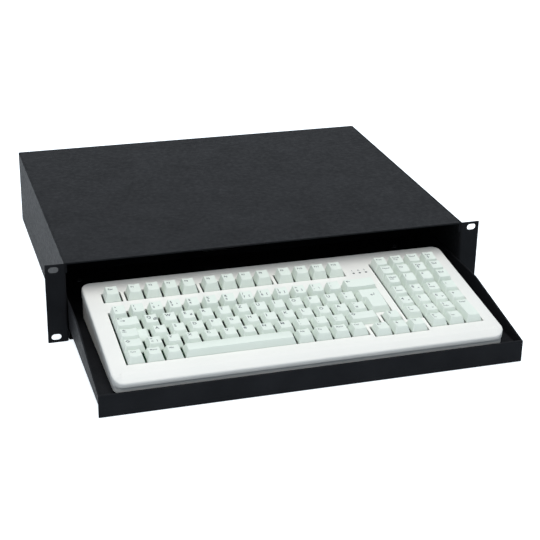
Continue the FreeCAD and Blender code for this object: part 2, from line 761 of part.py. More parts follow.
def rubber_feet():
    """Four round feet between the keyboard and the tray floor."""
    x_mid = KEY_FIELD_X - CASE_LEFT + CASE_WIDTH / 2
    y_mid = KEY_FIELD_Y - CASE_FRONT + CASE_DEPTH / 2
    dx = CASE_WIDTH / 2 - FOOT_INSET
    dy = CASE_DEPTH / 2 - FOOT_INSET
    return Part.makeCompound([
        upright(FOOT_D, x_mid + sx * dx, y_mid + sy * dy, level(TRAY_FLOOR), level(CASE_UNDER),
                ROUND_SIDES)
        for sx in (-1, 1) for sy in (-1, 1)])


def grommet_place():
    """Centre of the cable inlet, in the middle of the lower case's rear wall."""
    turn = math.radians(KEYBOARD_SLOPE)
    y0 = KEY_FIELD_Y - CASE_FRONT * math.cos(turn) + PARTING_DEPTH * math.sin(turn)
    rear = y0 + CASE_DEPTH * math.cos(turn) - LOWER_INSET
    x = KEY_FIELD_X - CASE_LEFT + CASE_WIDTH / 2
    return V(x, rear - LOWER_WALL / 2, level(CASE_UNDER) + GROMMET_HEIGHT)


def grommet_ring(diameter, start, end):
    """A rod through the cable inlet, between two distances from the middle of the wall."""
    place = grommet_place()
    return lengthwise(diameter, place.x, place.z, place.y + start, place.y + end, ROUND_SIDES)


def cable_grommet():
    """Rubber bush that lines the cable inlet, with a flange on each side of the wall."""
    wall = LOWER_WALL / 2
    edge = wall + GROMMET_FLANGE
    bush = grommet_ring(GROMMET_D, -wall, wall)
    outside = grommet_ring(GROMMET_FLANGE_D, wall, edge)
    inside = grommet_ring(GROMMET_FLANGE_D, -edge, -wall)
    bore = grommet_ring(GROMMET_BORE_D, -2 * edge, 2 * edge)
    return fuse([bush, outside, inside]).cut(bore)


def circuit_board():
    """Board that carries the switches, drilled for its screws."""
    x_end = FIELD_COLUMNS * KEY_PITCH + BOARD_MARGIN
    y_end = FIELD_ROWS * KEY_PITCH + BOARD_MARGIN
    y_start = -0.25 * KEY_PITCH - BOARD_MARGIN / 2
    board = seat(box(-BOARD_MARGIN, x_end, y_start, y_end, BOARD_TOP - BOARD_THICKNESS, BOARD_TOP))
    for u, v in POST_PLACES:
        board = board.cut(screw_hole(u, v, BOARD_SCREW_D))
    return board


def board_screws():
    """Screws through the board into the lower case's posts."""
    screws = []
    for u, v in POST_PLACES:
        x = u * KEY_PITCH
        y = v * KEY_PITCH
        high = BOARD_TOP + BOARD_SCREW_HEAD_HEIGHT
        head = upright(BOARD_SCREW_HEAD_D, x, y, BOARD_TOP, high)
        tip = BOARD_TOP - BOARD_THICKNESS - BOARD_SCREW_TIP
        shank = upright(BOARD_SCREW_D, x, y, tip, BOARD_TOP)
        screws.append(seat(fuse([head, shank])))
    return Part.makeCompound(screws)


def indicator_leds():
    """Three lights standing on the board, each showing through its hole in the case."""
    lights = []
    for u, v in LED_PLACES:
        x = u * KEY_PITCH
        y = v * KEY_PITCH
        lights.append(seat(upright(LED_D, x, y, BOARD_TOP, LED_RISE, ROUND_SIDES)))
    return Part.makeCompound(lights)


# Keys

def key_centres():
    """(u, v) of the switch under every key."""
    places = []
    for _, _, v, u, widths in KEY_GROUPS:
        for width in widths:
            places.append((u + width / 2, v + 0.5))
            u += width
    caps_u, caps_v, _ = CAPS_LOCK
    places.append((caps_u + CAPS_STEP_WIDTH / 2, caps_v + 0.5))
    space_u, space_v, space_width = SPACE_BAR
    places.append((space_u + space_width / 2, space_v + 0.5))
    u0, u1, v0, v1 = ENTER_LOW
    places.append(((u0 + u1) / 2, (v0 + v1) / 2))
    u0, u1, v0, v1 = PAD_ENTER
    places.append(((u0 + u1) / 2, (v0 + v1) / 2))
    return places


def key_switches():
    """A tapered switch body under every key, bored for the key's stem."""
    bodies = []
    base = SWITCH_BASE / 2
    top = SWITCH_TOP / 2
    hole_x = STEM_WIDTH / 2 + STEM_CLEARANCE
    hole_y = STEM_DEPTH / 2 + STEM_CLEARANCE
    bore_depth = STEM_REACH + KEY_TRAVEL + SWITCH_BORE_SPARE
    for u, v in key_centres():
        x = u * KEY_PITCH
        y = v * KEY_PITCH
        body = Part.makeWedge(-base, 0, -base, -top, -top, base, SWITCH_HEIGHT, base, top, top)
        body.rotate(V(0, 0, 0), V(1, 0, 0), 90)
        body.translate(V(x, y, BOARD_TOP))
        body = body.cut(box(x - hole_x, x + hole_x, y - hole_y, y + hole_y,
                            -SWITCH_TOP_DEPTH - bore_depth, 0))
        bodies.append(seat(body))
    return Part.makeCompound(bodies)


def cap_form(u0, u1, v0, v1, front_high, rear_high, inset, drop):
    """A cap's outer or inner form: sloping sides, and a top that follows the row."""
    side = KEY_GAP / 2 + inset
    x0 = u0 * KEY_PITCH + side
    x1 = u1 * KEY_PITCH - side
    y0 = v0 * KEY_PITCH + side
    y1 = v1 * KEY_PITCH - side
    low = -SKIRT_DEPTH
    if inset:
        low -= 1
    front_top = front_high - drop
    rear_top = rear_high - drop
    mean_top = (front_high + rear_high) / 2
    lean = CAP_SIDE_TAPER / (mean_top + SKIRT_DEPTH)
    front_lean = CAP_FRONT_TAPER / (front_high + SKIRT_DEPTH)
    rear_lean = CAP_REAR_TAPER / (rear_high + SKIRT_DEPTH)
    deep = -SKIRT_DEPTH - low
    along = side_face([
        (y0 - front_lean * deep, low, 0), (y1 + rear_lean * deep, low, 0),
        (y1 - rear_lean * (rear_top + SKIRT_DEPTH), rear_top, 0),
        (y0 + front_lean * (front_top + SKIRT_DEPTH), front_top, 0)], x0 - 1)
    along = along.extrude(V(x1 - x0 + 2, 0, 0))
    high = max(front_top, rear_top) + 1
    rise = high + SKIRT_DEPTH
    across = front_face([
        (x0 - lean * deep, low, 0), (x1 + lean * deep, low, 0),
        (x1 - lean * rise, high, 0), (x0 + lean * rise, high, 0)], y0 - 1)
    across = across.extrude(V(0, y1 - y0 + 2, 0))
    return along.common(across)


def dish_cutter(u0, u1, v0, v1, front_high, rear_high):
    """A long trough of a few facets on an arc, which dishes a cap's top."""
    middle_x = (u0 + u1) / 2 * KEY_PITCH
    lean = CAP_SIDE_TAPER / ((front_high + rear_high) / 2 + SKIRT_DEPTH)
    lowest = min(front_high, rear_high)
    half = (u1 - u0) * KEY_PITCH / 2 - KEY_GAP / 2 - lean * (lowest + SKIRT_DEPTH)
    radius = (half ** 2 + CAP_DISH ** 2) / (2 * CAP_DISH)
    y0 = v0 * KEY_PITCH + KEY_GAP / 2 + CAP_FRONT_TAPER
    y1 = v1 * KEY_PITCH - KEY_GAP / 2 - CAP_REAR_TAPER
    run = V(0, y1 - y0, rear_high - front_high)
    back = run.normalize() * KEY_PITCH
    up = V(0, -back.z, back.y).normalize()
    start = V(middle_x, y0, front_high) - back
    spread = math.asin(half / radius)
    trough = []
    for i in range(DISH_FACETS + 1):
        turn = spread * (2 * i / DISH_FACETS - 1)
        rise = radius * (1 - math.cos(turn)) - CAP_DISH
        trough.append(start + V(radius * math.sin(turn), 0, 0) + up * rise)
    trough[0] = trough[0] * 2 - trough[1]
    trough[-1] = trough[-1] * 2 - trough[-2]
    above = up * KEY_PITCH
    section = [trough[0] + above] + trough + [trough[-1] + above, trough[0] + above]
    return flat(section).extrude(back * (v1 - v0 + 2))


def stem(u, v, crown):
    """The stem that guides a cap in its switch, up to a cap form set in its roof."""
    x = u * KEY_PITCH
    y = v * KEY_PITCH
    half_x = STEM_WIDTH / 2
    half_y = STEM_DEPTH / 2
    high = box(x - half_x, x + half_x, y - half_y, y + half_y, -SKIRT_DEPTH, 2 * KEY_PITCH)
    low = box(x - half_x, x + half_x, y - half_y, y + half_y,
              -SWITCH_TOP_DEPTH - STEM_REACH, -SKIRT_DEPTH)
    return high.common(crown).fuse(low)


def keycap(u0, u1, v0, v1, profile):
    """A hollow tapered cap with a dished top and a stem."""
    front_high, rear_high = profile
    cap = cap_form(u0, u1, v0, v1, front_high, rear_high, 0, 0)
    cap = cap.cut(dish_cutter(u0, u1, v0, v1, front_high, rear_high))
    cap = cap.cut(cap_form(u0, u1, v0, v1, front_high, rear_high, CAP_WALL, CAP_ROOF))
    crown = cap_form(u0, u1, v0, v1, front_high, rear_high, 0, STEM_CROWN)
    return cap.fuse(stem((u0 + u1) / 2, (v0 + v1) / 2, crown)).removeSplitter()


def key_group(row, v, u, widths):
    """A run of caps side by side in one row."""
    caps = []
    for width in widths:
        caps.append(seat(keycap(u, u + width, v, v + 1, ROW_HEIGHTS[row])))
        u += width
    return Part.makeCompound(caps)


def key_caps_lock():
    """Stepped cap: raised over its switch, low beside it."""
    u, v, width = CAPS_LOCK
    front_high, rear_high = ROW_HEIGHTS["home"]
    low_front = front_high - CAPS_STEP_DROP
    low_rear = rear_high - CAPS_STEP_DROP
    raised = cap_form(u, u + CAPS_STEP_WIDTH, v, v + 1, front_high, rear_high, 0, 0)
    raised = raised.cut(dish_cutter(u, u + CAPS_STEP_WIDTH, v, v + 1, front_high, rear_high))
    step = cap_form(u, u + width, v, v + 1, low_front, low_rear, 0, 0)
    cap = raised.fuse(step)
    cap = cap.cut(cap_form(u, u + CAPS_STEP_WIDTH, v, v + 1, front_high, rear_high,
                           CAP_WALL, CAP_ROOF))
    cap = cap.cut(cap_form(u, u + width, v, v + 1, low_front, low_rear, CAP_WALL, CAP_WALL))
    crown = cap_form(u, u + CAPS_STEP_WIDTH, v, v + 1, front_high, rear_high, 0, STEM_CROWN)
    return seat(cap.fuse(stem(u + CAPS_STEP_WIDTH / 2, v + 0.5, crown)).removeSplitter())


def key_enter():
    """L-shaped cap over two rows, wider at the rear."""
    heights = (ROW_HEIGHTS["home"][0], ROW_HEIGHTS["upper"][1])
    forms = []
    for inset, drop in ((0, 0), (CAP_WALL, CAP_ROOF)):
        u0, u1, v0, v1 = ENTER_LOW
        tall = cap_form(u0, u1, v0, v1, heights[0], heights[1], inset, drop)
        u0, u1, v0, v1 = ENTER_HIGH
        mid_front = sum(heights) / 2
        wide = cap_form(u0, u1, v0, v1, mid_front, heights[1], inset, drop)
        forms.append(tall.fuse(wide))
    u0, _, v0, v1 = ENTER_LOW
    u1 = ENTER_LOW[1]
    cap = forms[0].cut(dish_cutter(u0, u1, v0, v1, heights[0], heights[1]))
    cap = cap.cut(forms[1])
    crown = cap_form(u0, u1, v0, v1, heights[0], heights[1], 0, STEM_CROWN)
    return seat(cap.fuse(stem((u0 + u1) / 2, (v0 + v1) / 2, crown)).removeSplitter())


def key_space():
    """Long cap with a gently crowned top."""
    u, v, width = SPACE_BAR
    front_high, rear_high = ROW_HEIGHTS["bottom"]
    cap = cap_form(u, u + width, v, v + 1, front_high, rear_high, 0, 0)
    cap = cap.cut(cap_form(u, u + width, v, v + 1, front_high, rear_high, CAP_WALL, CAP_ROOF))
    crown = cap_form(u, u + width, v, v + 1, front_high, rear_high, 0, STEM_CROWN)
    return seat(cap.fuse(stem(u + width / 2, v + 0.5, crown)).removeSplitter())


def key_pad_enter():
    """Cap over two rows of the number pad."""
    heights = (ROW_HEIGHTS["bottom"][0], ROW_HEIGHTS["lower"][1])
    return seat(keycap(*PAD_ENTER, heights))


# Export

def nodes():
    """Every named piece with its shape."""
    pieces = {
        "top_cover": top_cover(),
        "side_plate_right": side_plate_right(),
        "side_plate_left": mirrored(side_plate_right()),
        "base_pan": base_pan(),
        "rear_screws": rear_screws(),
        "slide_rivets": slide_rivets(),
        "slide_bumpers": slide_bumpers(),
        "tray": tray(),
        "tray_screws": tray_screws(),
        "keyboard_top_case": keyboard_top_case(),
        "keyboard_bottom_case": keyboard_bottom_case(),
        "rubber_feet": rubber_feet(),
        "cable_grommet": cable_grommet(),
        "circuit_board": circuit_board(),
        "board_screws": board_screws(),
        "indicator_leds": indicator_leds(),
        "key_switches": key_switches(),
        "key_caps_lock": key_caps_lock(),
        "key_enter": key_enter(),
        "key_space": key_space(),
        "key_pad_enter": key_pad_enter(),
    }
    for side, x in (("left", -SLIDE_X), ("right", SLIDE_X)):
        pieces["slide_outer_" + side] = slide_outer(x)
        pieces["slide_middle_" + side] = slide_middle(x)
        pieces["slide_inner_" + side] = slide_inner(x)
        pieces["outer_ball_cage_" + side] = ball_cage(x, OUTER_BALL_OFFSET, 0.25)
        pieces["inner_ball_cage_" + side] = ball_cage(x, INNER_BALL_OFFSET, 0.75)
    for name, row, v, u, widths in KEY_GROUPS:
        pieces[name] = key_group(row, v, u, widths)
    return pieces


os.makedirs("parts", exist_ok=True)
for node, piece in nodes().items():
    piece.exportStep("parts/" + node + ".step")
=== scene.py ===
# Rack keyboard tray, dressed for rendering: fine keycaps with printed legends, screws with
# driver recesses, and procedural materials on every piece, under soft studio light.
#
# Lengths of the keyboard are given in millimetres in its own frame (x right, y up the
# slope, z square to the key plane) and scaled to metres when they are placed.

import json
import math

import bmesh
import bpy
from mathutils import Matrix, Vector

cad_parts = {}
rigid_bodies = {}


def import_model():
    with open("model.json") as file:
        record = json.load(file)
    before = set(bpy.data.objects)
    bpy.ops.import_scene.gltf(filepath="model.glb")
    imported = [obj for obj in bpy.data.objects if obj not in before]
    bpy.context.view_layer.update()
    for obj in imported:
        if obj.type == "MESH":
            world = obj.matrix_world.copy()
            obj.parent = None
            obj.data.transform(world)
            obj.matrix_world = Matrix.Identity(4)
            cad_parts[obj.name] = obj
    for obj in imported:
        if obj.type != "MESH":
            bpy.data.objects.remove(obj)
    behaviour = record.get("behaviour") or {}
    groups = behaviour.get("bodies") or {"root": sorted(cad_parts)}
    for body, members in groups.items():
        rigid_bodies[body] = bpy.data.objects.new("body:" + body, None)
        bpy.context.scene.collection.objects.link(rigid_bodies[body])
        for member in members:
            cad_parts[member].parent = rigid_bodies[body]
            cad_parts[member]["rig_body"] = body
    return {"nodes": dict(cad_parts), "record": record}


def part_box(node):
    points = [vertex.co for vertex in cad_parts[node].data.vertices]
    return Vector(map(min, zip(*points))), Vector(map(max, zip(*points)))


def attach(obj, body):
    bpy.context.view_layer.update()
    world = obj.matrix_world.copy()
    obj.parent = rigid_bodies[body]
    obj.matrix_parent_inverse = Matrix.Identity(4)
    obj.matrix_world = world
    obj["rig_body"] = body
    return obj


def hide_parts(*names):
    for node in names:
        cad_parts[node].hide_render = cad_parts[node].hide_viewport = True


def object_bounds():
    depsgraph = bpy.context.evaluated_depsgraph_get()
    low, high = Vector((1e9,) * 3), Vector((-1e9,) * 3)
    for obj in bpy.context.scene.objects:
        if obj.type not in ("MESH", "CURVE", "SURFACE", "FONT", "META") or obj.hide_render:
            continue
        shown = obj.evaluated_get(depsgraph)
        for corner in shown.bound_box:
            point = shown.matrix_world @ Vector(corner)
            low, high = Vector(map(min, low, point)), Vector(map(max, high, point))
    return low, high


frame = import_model()
cad_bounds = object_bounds()

MM = 0.001

# Camera, found from the photograph with the rack panel and the keys as rulers: its place and
# clipping in metres, its angles in degrees, its lens and sensor in millimetres
CAMERA_PLACE = (-0.400607, -1.275557, 0.610028)
CAMERA_AZIMUTH = 17.41
CAMERA_ELEVATION = 24.12
CAMERA_ROLL = 1.08
CAMERA_LENS = 90.907
SENSOR_WIDTH = 36.0
CAMERA_CLIP = (0.05, 50.0)

# Light: one large soft lamp over the front left, a dim even world and a white backdrop
LAMP_PLACE = (-0.2, -0.42, 1.95)
LAMP_TARGET = (0, 0, 0)
LAMP_SIZE = 2.0
LAMP_WATTS = 39
LAMP_COLOUR = (1.0, 0.99, 0.97)
WORLD_LIGHT = (0.30, 0.35, 0.405)
BACKDROP = (1.0, 1.06, 1.12)

# Floor, with its half width and its drop below the part in metres
FLOOR_COLOUR = (0.82, 0.86, 0.89)
FLOOR_ROUGHNESS = 0.9
FLOOR_GLOW_COLOUR = (1.0, 1.05, 1.1)
FLOOR_GLOW = 0.7
FLOOR_HALF = 6.0
FLOOR_CELLS = 8
FLOOR_DROP = 0.0002

# Noise in the materials: the part of its range that is used, how much finer the uneven
# roughness is than the clouds of colour, the detail of each kind and the relief's strength
NOISE_RANGE = (0.3, 0.7)
UNEVEN_FINER = 9
CLOUD_DETAIL = 3.0
UNEVEN_DETAIL = 4.0
GRAIN_DETAIL = 2.0
GRAIN_STRENGTH = 0.35
EDGE_SAMPLES = 4

# Keyboard, in millimetres and degrees: its pitch and the gaps between caps, its slope and
# place, then a cap's skirt, taper, upper surface, hollow, stem and rounding
KEY_PITCH = 19.05
GAP_ACROSS = 2.3
GAP_ALONG = 0.95
KEYBOARD_SLOPE = 6.46
FIELD_PLACE = Vector((-185.1875, -139.1, -6.55)) * MM
SKIRT_DEPTH = 2.5
SKIRT_TOP = -0.3
FRONT_TAPER = 2.9
REAR_TAPER = 1.5
SIDE_TAPER = 2.55
CAP_DISH = 0.8
BAR_CROWN = 0.7
CAP_WALL = 1.3
CAP_CEILING = 2.3
CEILING_SHARE = 0.6
STEM_HALF = (3.2, 2.6)
STEM_FOOT = -3.5
STEM_BITE = 0.3
STEM_CORNER = 0.4
EDGE_ROUND = 0.25
BASE_CORNER = 0.6
TOP_CORNER = 0.7
STEP_DROP = 2.6

# Rings up a cap's side as shares of its height, how far in and how far down those of its
# rounded edge lie as shares of EDGE_ROUND, and rings on its top as shares of its width
SIDE_SHARES = (0, 0.06, 0.5, 0.9)
EDGE_SHARES = ((0.06, 0.75), (0.22, 0.32), (0.5, 0.08), (1.0, 0.0))
TOP_SHARES = (0.8, 0.6, 0.4, 0.2)

# Legends, in millimetres: sizes of marks, then how far they start in from a cap's left edge
# and its rear edge, and how far below the first mark the others are
LETTER_SIZE = 5.6
PAIR_SIZE = 4.6
THIRD_SIZE = 4.3
SHORT_WORD_SIZE = 3.9
WORD_SIZE = 3.2
SECOND_WORD_SIZE = 2.8
LETTER_START = (1.6, 1.7)
WORD_START = (2.0, 2.6)
LETTER_DROP = 5.2
WORD_DROP = 3.4
THIRD_START = 7.4
THIRD_DROP = 4.4
LEGEND_LIFT = 0.04
LEGEND_STEP = 1.0
# Letters in a short word, how much bolder letters are as a share of their size, and steps
# in their curves
SHORT_WORD = 3
LEGEND_BOLD = 0.02
LEGEND_CURVES = 3

# Upper case, in millimetres
CASE_X = (-17.8, 387.175)
CASE_Y = (-22.5, 158.1)
CASE_DEPTH = 11.0
CASE_WALL = 2.5
CASE_CORNER = 10.0
# How far in and how far down the edge of the case's top lies, step by step
SIDE_ROLL = [(0.0, 2.6), (0.1, 1.9), (0.35, 1.25), (0.75, 0.75), (1.25, 0.35), (1.9, 0.1),
             (2.6, 0.0)]
FRONT_ROLL = [(0.0, 6.8), (0.12, 6.1), (0.5, 5.4), (1.2, 4.8), (3.6, 3.2), (7.0, 1.2),
              (12.0, 0.0)]
GROOVE = 0.9
# Openings: how much wider they are than the keys' places, and the rounding of their edges,
# whose middle lies in by a share of it
MARGIN_ACROSS = 0.7
OPENING_ROUND = 0.25
OPENING_CORNER = 0.6
ROUND_MIDDLE = 0.3
LIGHT_HOLE = 1.45
LIGHT_MARK_SIZE = 3.6
LIGHT_MARK_LEFT = 1.3
LIGHT_MARK_REAR = 0.36 * KEY_PITCH

# Points on a rounded corner, on a straight side and on a circle
CORNER_STEPS = 4
SIDE_STEPS = 6
ROUND_SIDES = 28
LIGHT_SIDES = 20

# Heights of each row's caps at the front and at the rear, in millimetres
ROW_HEIGHTS = {
    "bottom": (7.2, 5.6),
    "lower": (6.5, 5.4),
    "home": (5.6, 5.3),
    "upper": (6.3, 6.6),
    "number": (8.4, 9.3),
}

# Runs of keys: node, row profile, v of the row, first u, widths, and what is printed on them.
# A legend's parts are the mark at the rear, the one below it and the one at the right.
KEY_RUNS = [
    ("key_escape", "number", 6, 0, [1], "Esc"),
    ("function_keys_left", "number", 6, 1.25, [1] * 4, "F1 F2 F3 F4"),
    ("function_keys_middle", "number", 6, 5.5, [1] * 4, "F5 F6 F7 F8"),
    ("function_keys_right", "number", 6, 9.75, [1] * 4, "F9 F10 F11 F12"),
    ("number_keys", "number", 4, 0, [1] * 13,
     "\u00b0~^ !~1 \"~2~\u00b2 \u00a7~3~\u00b3 $~4 %~5 &~6 /~7~{ (~8~[ )~9~] =~0~} ?~-~\\ `~'"),
    ("key_backspace", "number", 4, 13, [2], "left"),
    ("key_tab", "upper", 3, 0, [1.5], "tab"),
    ("upper_letter_keys", "upper", 3, 1.5, [1] * 12, "Q~~@ W E~~\u20ac R T Z U I O P U *~+~~"),
    ("home_letter_keys", "home", 2, 1.75, [1] * 12, "A S D F G H J K L O A '~#"),
    ("key_shift_left", "lower", 1, 0, [1.25], "shift"),
    ("lower_letter_keys", "lower", 1, 1.25, [1] * 11, ">~<~| Y X C V B N M ;~, :~. _~-"),
    ("key_shift_right", "lower", 1, 12.25, [1.75], "shift"),
    ("modifier_keys_left", "bottom", 0, 0, [1] * 3, "Ctrl Menu Alt"),
    ("modifier_keys_right", "bottom", 0, 9, [1] * 4, "Alt Fn Menu Ctrl"),
    ("key_arrow_up", "lower", 0.75, 14.25, [1], "up"),
    ("arrow_keys_low", "bottom", -0.25, 13.25, [1] * 3, "left down right"),
    ("pad_keys_row_1", "bottom", 0, 16.5, [1] * 2, "0~Ins .~Del"),
    ("pad_keys_row_2", "lower", 1, 15.5, [1] * 3, "1~End 2~~v 3~PgDn"),
    ("pad_keys_row_3", "home", 2, 15.5, [1] * 4, "4~~< 5 6~~> +"),
    ("pad_keys_row_4", "upper", 3, 15.5, [1] * 4, "7~Home 8~~^ 9~PgUp -"),
    ("pad_keys_row_5", "number", 4, 15.5, [1] * 4, "Num~lock / * End"),
    ("pad_keys_row_6", "number", 5, 15.5, [1] * 4, "Home Ins Page~up Del"),
    ("pad_keys_row_7", "number", 6, 15.5, [1] * 4, "Print Scroll~lock Pause Page~down"),
]

# Caps that aren't in a plain run, as first u, last u, first v and last v
CAPS_LOCK = (0, 1.75, 2, 3)
CAPS_LOCK_RAISED = (0, 1.25, 2, 3)
ENTER_FRONT = (13.75, 15, 2, 4)
ENTER_REAR = (13.5, 15, 3, 4)
ENTER_LABEL = (13.95, 15, 2, 3.65)
SPACE_BAR = (3, 9, 0, 1)
PAD_ENTER = (18.5, 19.5, 0, 2)

# Openings in the case, as corners (u, v) in key pitches, and the lights with their marks
OPENINGS = [
    [(0, 0), (13, 0), (13, 1), (14, 1), (14, 2), (15, 2), (15, 5), (0, 5)],
    [(13.25, -0.25), (16.25, -0.25), (16.25, 0.75), (15.25, 0.75), (15.25, 1.75), (14.25, 1.75),
     (14.25, 0.75), (13.25, 0.75)],
    [(16.5, 0), (19.5, 0), (19.5, 7), (15.5, 7), (15.5, 1), (16.5, 1)],
    [(0, 6), (1, 6), (1, 7), (0, 7)],
    [(1.25, 6), (5.25, 6), (5.25, 7), (1.25, 7)],
    [(5.5, 6), (9.5, 6), (9.5, 7), (5.5, 7)],
    [(9.75, 6), (13.75, 6), (13.75, 7), (9.75, 7)],
]
LIGHTS = [(14.31, 6.22, "1"), (14.68, 6.22, "A"), (15.05, 6.22, "S")]

# Top cover, in millimetres, with its notches and tongue at the rear
SHEET = 1.5
COVER_HALF = 219.75
COVER_TOP = 44.05
COVER_FLANGE = 11.0
COVER_BEND = 0.5
COVER_REAR = 353.5
COVER_NOTCH = 1.6
COVER_TONGUE = 207.5
COVER_SLACK = 0.04

# Symbols as strokes in a unit box
SYMBOLS = {
    "up": [[(0.5, 0), (0.5, 1)], [(0.2, 0.65), (0.5, 1), (0.8, 0.65)]],
    "down": [[(0.5, 0), (0.5, 1)], [(0.2, 0.35), (0.5, 0), (0.8, 0.35)]],
    "left": [[(0, 0.5), (1, 0.5)], [(0.35, 0.8), (0, 0.5), (0.35, 0.2)]],
    "right": [[(0, 0.5), (1, 0.5)], [(0.65, 0.8), (1, 0.5), (0.65, 0.2)]],
    "tab": [[(0, 1), (1, 1)], [(0.2, 1.2), (0, 1), (0.2, 0.8)], [(-0.1, 0.8), (-0.1, 1.2)],
            [(0.4, 0), (1.4, 0)], [(1.2, 0.2), (1.4, 0), (1.2, -0.2)], [(1.5, -0.2), (1.5, 0.2)]],
    "shift": [[(0.3, 0), (0.3, 0.45), (0, 0.45), (0.5, 1), (1, 0.45), (0.7, 0.45), (0.7, 0),
               (0.3, 0)]],
    "caps": [[(0.5, 0.05), (0.5, 1)], [(0.1, 0.6), (0.5, 1), (0.9, 0.6)], [(0, 0), (1, 0)]],
    "enter": [[(1, 1), (1, 0.3), (0, 0.3)], [(0.3, 0.6), (0, 0.3), (0.3, 0)]],
}
SYMBOL_SIZE = 4.0
SYMBOL_STROKE = 0.6

# Screws, in millimetres: node, places, facing, height of the head and reach of the shank
UPWARD = Matrix.Identity(3)
BACKWARD = Matrix.Rotation(-math.pi / 2, 3, "X")
SCREWS = [
    ("rear_screws", [(x, 353.5, z) for x in (-213.8, 213.8) for z in (-22.025, 22.025)],
     BACKWARD, 2.0, 4.5),
    ("tray_screws", [(x, y, -28.35) for x in (-190.0, 190.0) for y in (-135.4, 41.6, 112.4)],
     UPWARD, 1.6, 3.3),
]
HEAD_RADIUS = 4.0
SHANK_RADIUS = 2.0
SHANK_TIP = 1.4
SHANK_CHAMFER = 0.5
# Shares of the head's radius and height up its edge, the cross's half length and half width
# as shares of the radius, and the recess's shares of the cross's size and of the head's height
HEAD_SHARES = ((0.97, 0.0), (1.0, 0.25), (0.93, 0.62), (0.75, 0.88), (0.55, 1.0))
CROSS_ARM = 0.42
CROSS_HALF = 0.11
RECESS_SHARES = ((1.0, 0.0), (0.6, 0.7))

# Other round pieces, in millimetres, as radius and height pairs
LENS_PROFILE = [(1.3, -9.0), (1.3, -0.5), (1.17, -0.2), (0.78, 0.0), (0.2, 0.05)]
FOOT_RADIUS = 5.9
FOOT_INSET = 6.0
FOOT_EDGE = [(4.9, 0), (5.6, 0.3), (FOOT_RADIUS, 0.9)]
BUSH_PROFILE = [(2.5, -2.2), (2.8, -2.5), (6.1, -2.5), (6.5, -2.1), (6.5, -1.0), (5.0, -1.0),
                (5.0, 1.0), (6.5, 1.0), (6.5, 2.1), (6.1, 2.5), (2.8, 2.5), (2.5, 2.2)]

# Carries the keyboard's own frame to its place
FIELD = Matrix.Translation(FIELD_PLACE) @ Matrix.Rotation(math.radians(KEYBOARD_SLOPE), 4, "X")


# Materials

def new_material(name):
    """A material with its principled shader and its node tree."""
    material = bpy.data.materials.new(name)
    material.use_nodes = True
    tree = material.node_tree
    shader = tree.nodes["Principled BSDF"]
    return material, tree, shader


def object_coords(tree, stretch):
    """Object coordinates, stretched for grain that runs one way."""
    coords = tree.nodes.new("ShaderNodeTexCoord")
    mapping = tree.nodes.new("ShaderNodeMapping")
    mapping.inputs["Scale"].default_value = stretch
    tree.links.new(coords.outputs["Object"], mapping.inputs["Vector"])
    return mapping.outputs["Vector"]


def noise(tree, vector, scale, detail):
    """A noise texture's value."""
    node = tree.nodes.new("ShaderNodeTexNoise")
    node.inputs["Scale"].default_value = scale
    node.inputs["Detail"].default_value = detail
    tree.links.new(vector, node.inputs["Vector"])
    return node.outputs["Fac"]


def spread(tree, value, low, high):
    """The middle of a noise value, mapped to a range."""
    node = tree.nodes.new("ShaderNodeMapRange")
    node.inputs["From Min"].default_value = NOISE_RANGE[0]
    node.inputs["From Max"].default_value = NOISE_RANGE[1]
    node.inputs["To Min"].default_value = low
    node.inputs["To Max"].default_value = high
    tree.links.new(value, node.inputs["Value"])
    return node.outputs["Result"]


def two_tone(tree, value, dark, light):
    """A colour that runs from dark to light with a value."""
    node = tree.nodes.new("ShaderNodeMix")
    node.data_type = "RGBA"
    node.inputs["A"].default_value = (*dark, 1)
    node.inputs["B"].default_value = (*light, 1)
    tree.links.new(value, node.inputs["Factor"])
    return node.outputs["Result"]


def bump(tree, shader, height, distance):
    """Fine relief on a shader."""
    node = tree.nodes.new("ShaderNodeBump")
    node.inputs["Distance"].default_value = distance
    node.inputs["Strength"].default_value = GRAIN_STRENGTH
    tree.links.new(height, node.inputs["Height"])
    tree.links.new(node.outputs["Normal"], shader.inputs["Normal"])
    return node


def grained(name, dark, light, rough, grain, relief, specular=0.5, metallic=0.0, cloud=18.0,
            stretch=(1, 1, 1), tint=(1, 1, 1), edge=0.0):
    """A surface with clouded colour, uneven roughness and a fine grain in relief.

    The relief is the grain's height and the edge the radius that edges are softened to, both
    in metres.
    """
    material, tree, shader = new_material(name)
    vector = object_coords(tree, stretch)
    clouds = spread(tree, noise(tree, vector, cloud, CLOUD_DETAIL), 0.0, 1.0)
    tree.links.new(two_tone(tree, clouds, dark, light), shader.inputs["Base Color"])
    uneven = noise(tree, vector, cloud * UNEVEN_FINER, UNEVEN_DETAIL)
    tree.links.new(spread(tree, uneven, *rough), shader.inputs["Roughness"])
    shader.inputs["Specular IOR Level"].default_value = specular
    shader.inputs["Specular Tint"].default_value = (*tint, 1)
    shader.inputs["Metallic"].default_value = metallic
    relief_node = bump(tree, shader, noise(tree, vector, grain, GRAIN_DETAIL), relief)
    if edge:
        rounded = tree.nodes.new("ShaderNodeBevel")
        rounded.samples = EDGE_SAMPLES
        rounded.inputs["Radius"].default_value = edge
        tree.links.new(rounded.outputs["Normal"], relief_node.inputs["Normal"])
    return material


def either(tree, first, second):
    """The larger of two values."""
    node = tree.nodes.new("ShaderNodeMath")
    node.operation = "MAXIMUM"
    tree.links.new(first, node.inputs[0])
    tree.links.new(second, node.inputs[1])
    return node.outputs["Value"]


def seen_rays(tree):
    """One for the rays by which the camera sees a surface, also mirrored or through glass."""
    rays = tree.nodes.new("ShaderNodeLightPath")
    seen = either(tree, rays.outputs["Is Camera Ray"], rays.outputs["Is Glossy Ray"])
    return either(tree, seen, rays.outputs["Is Transmission Ray"])


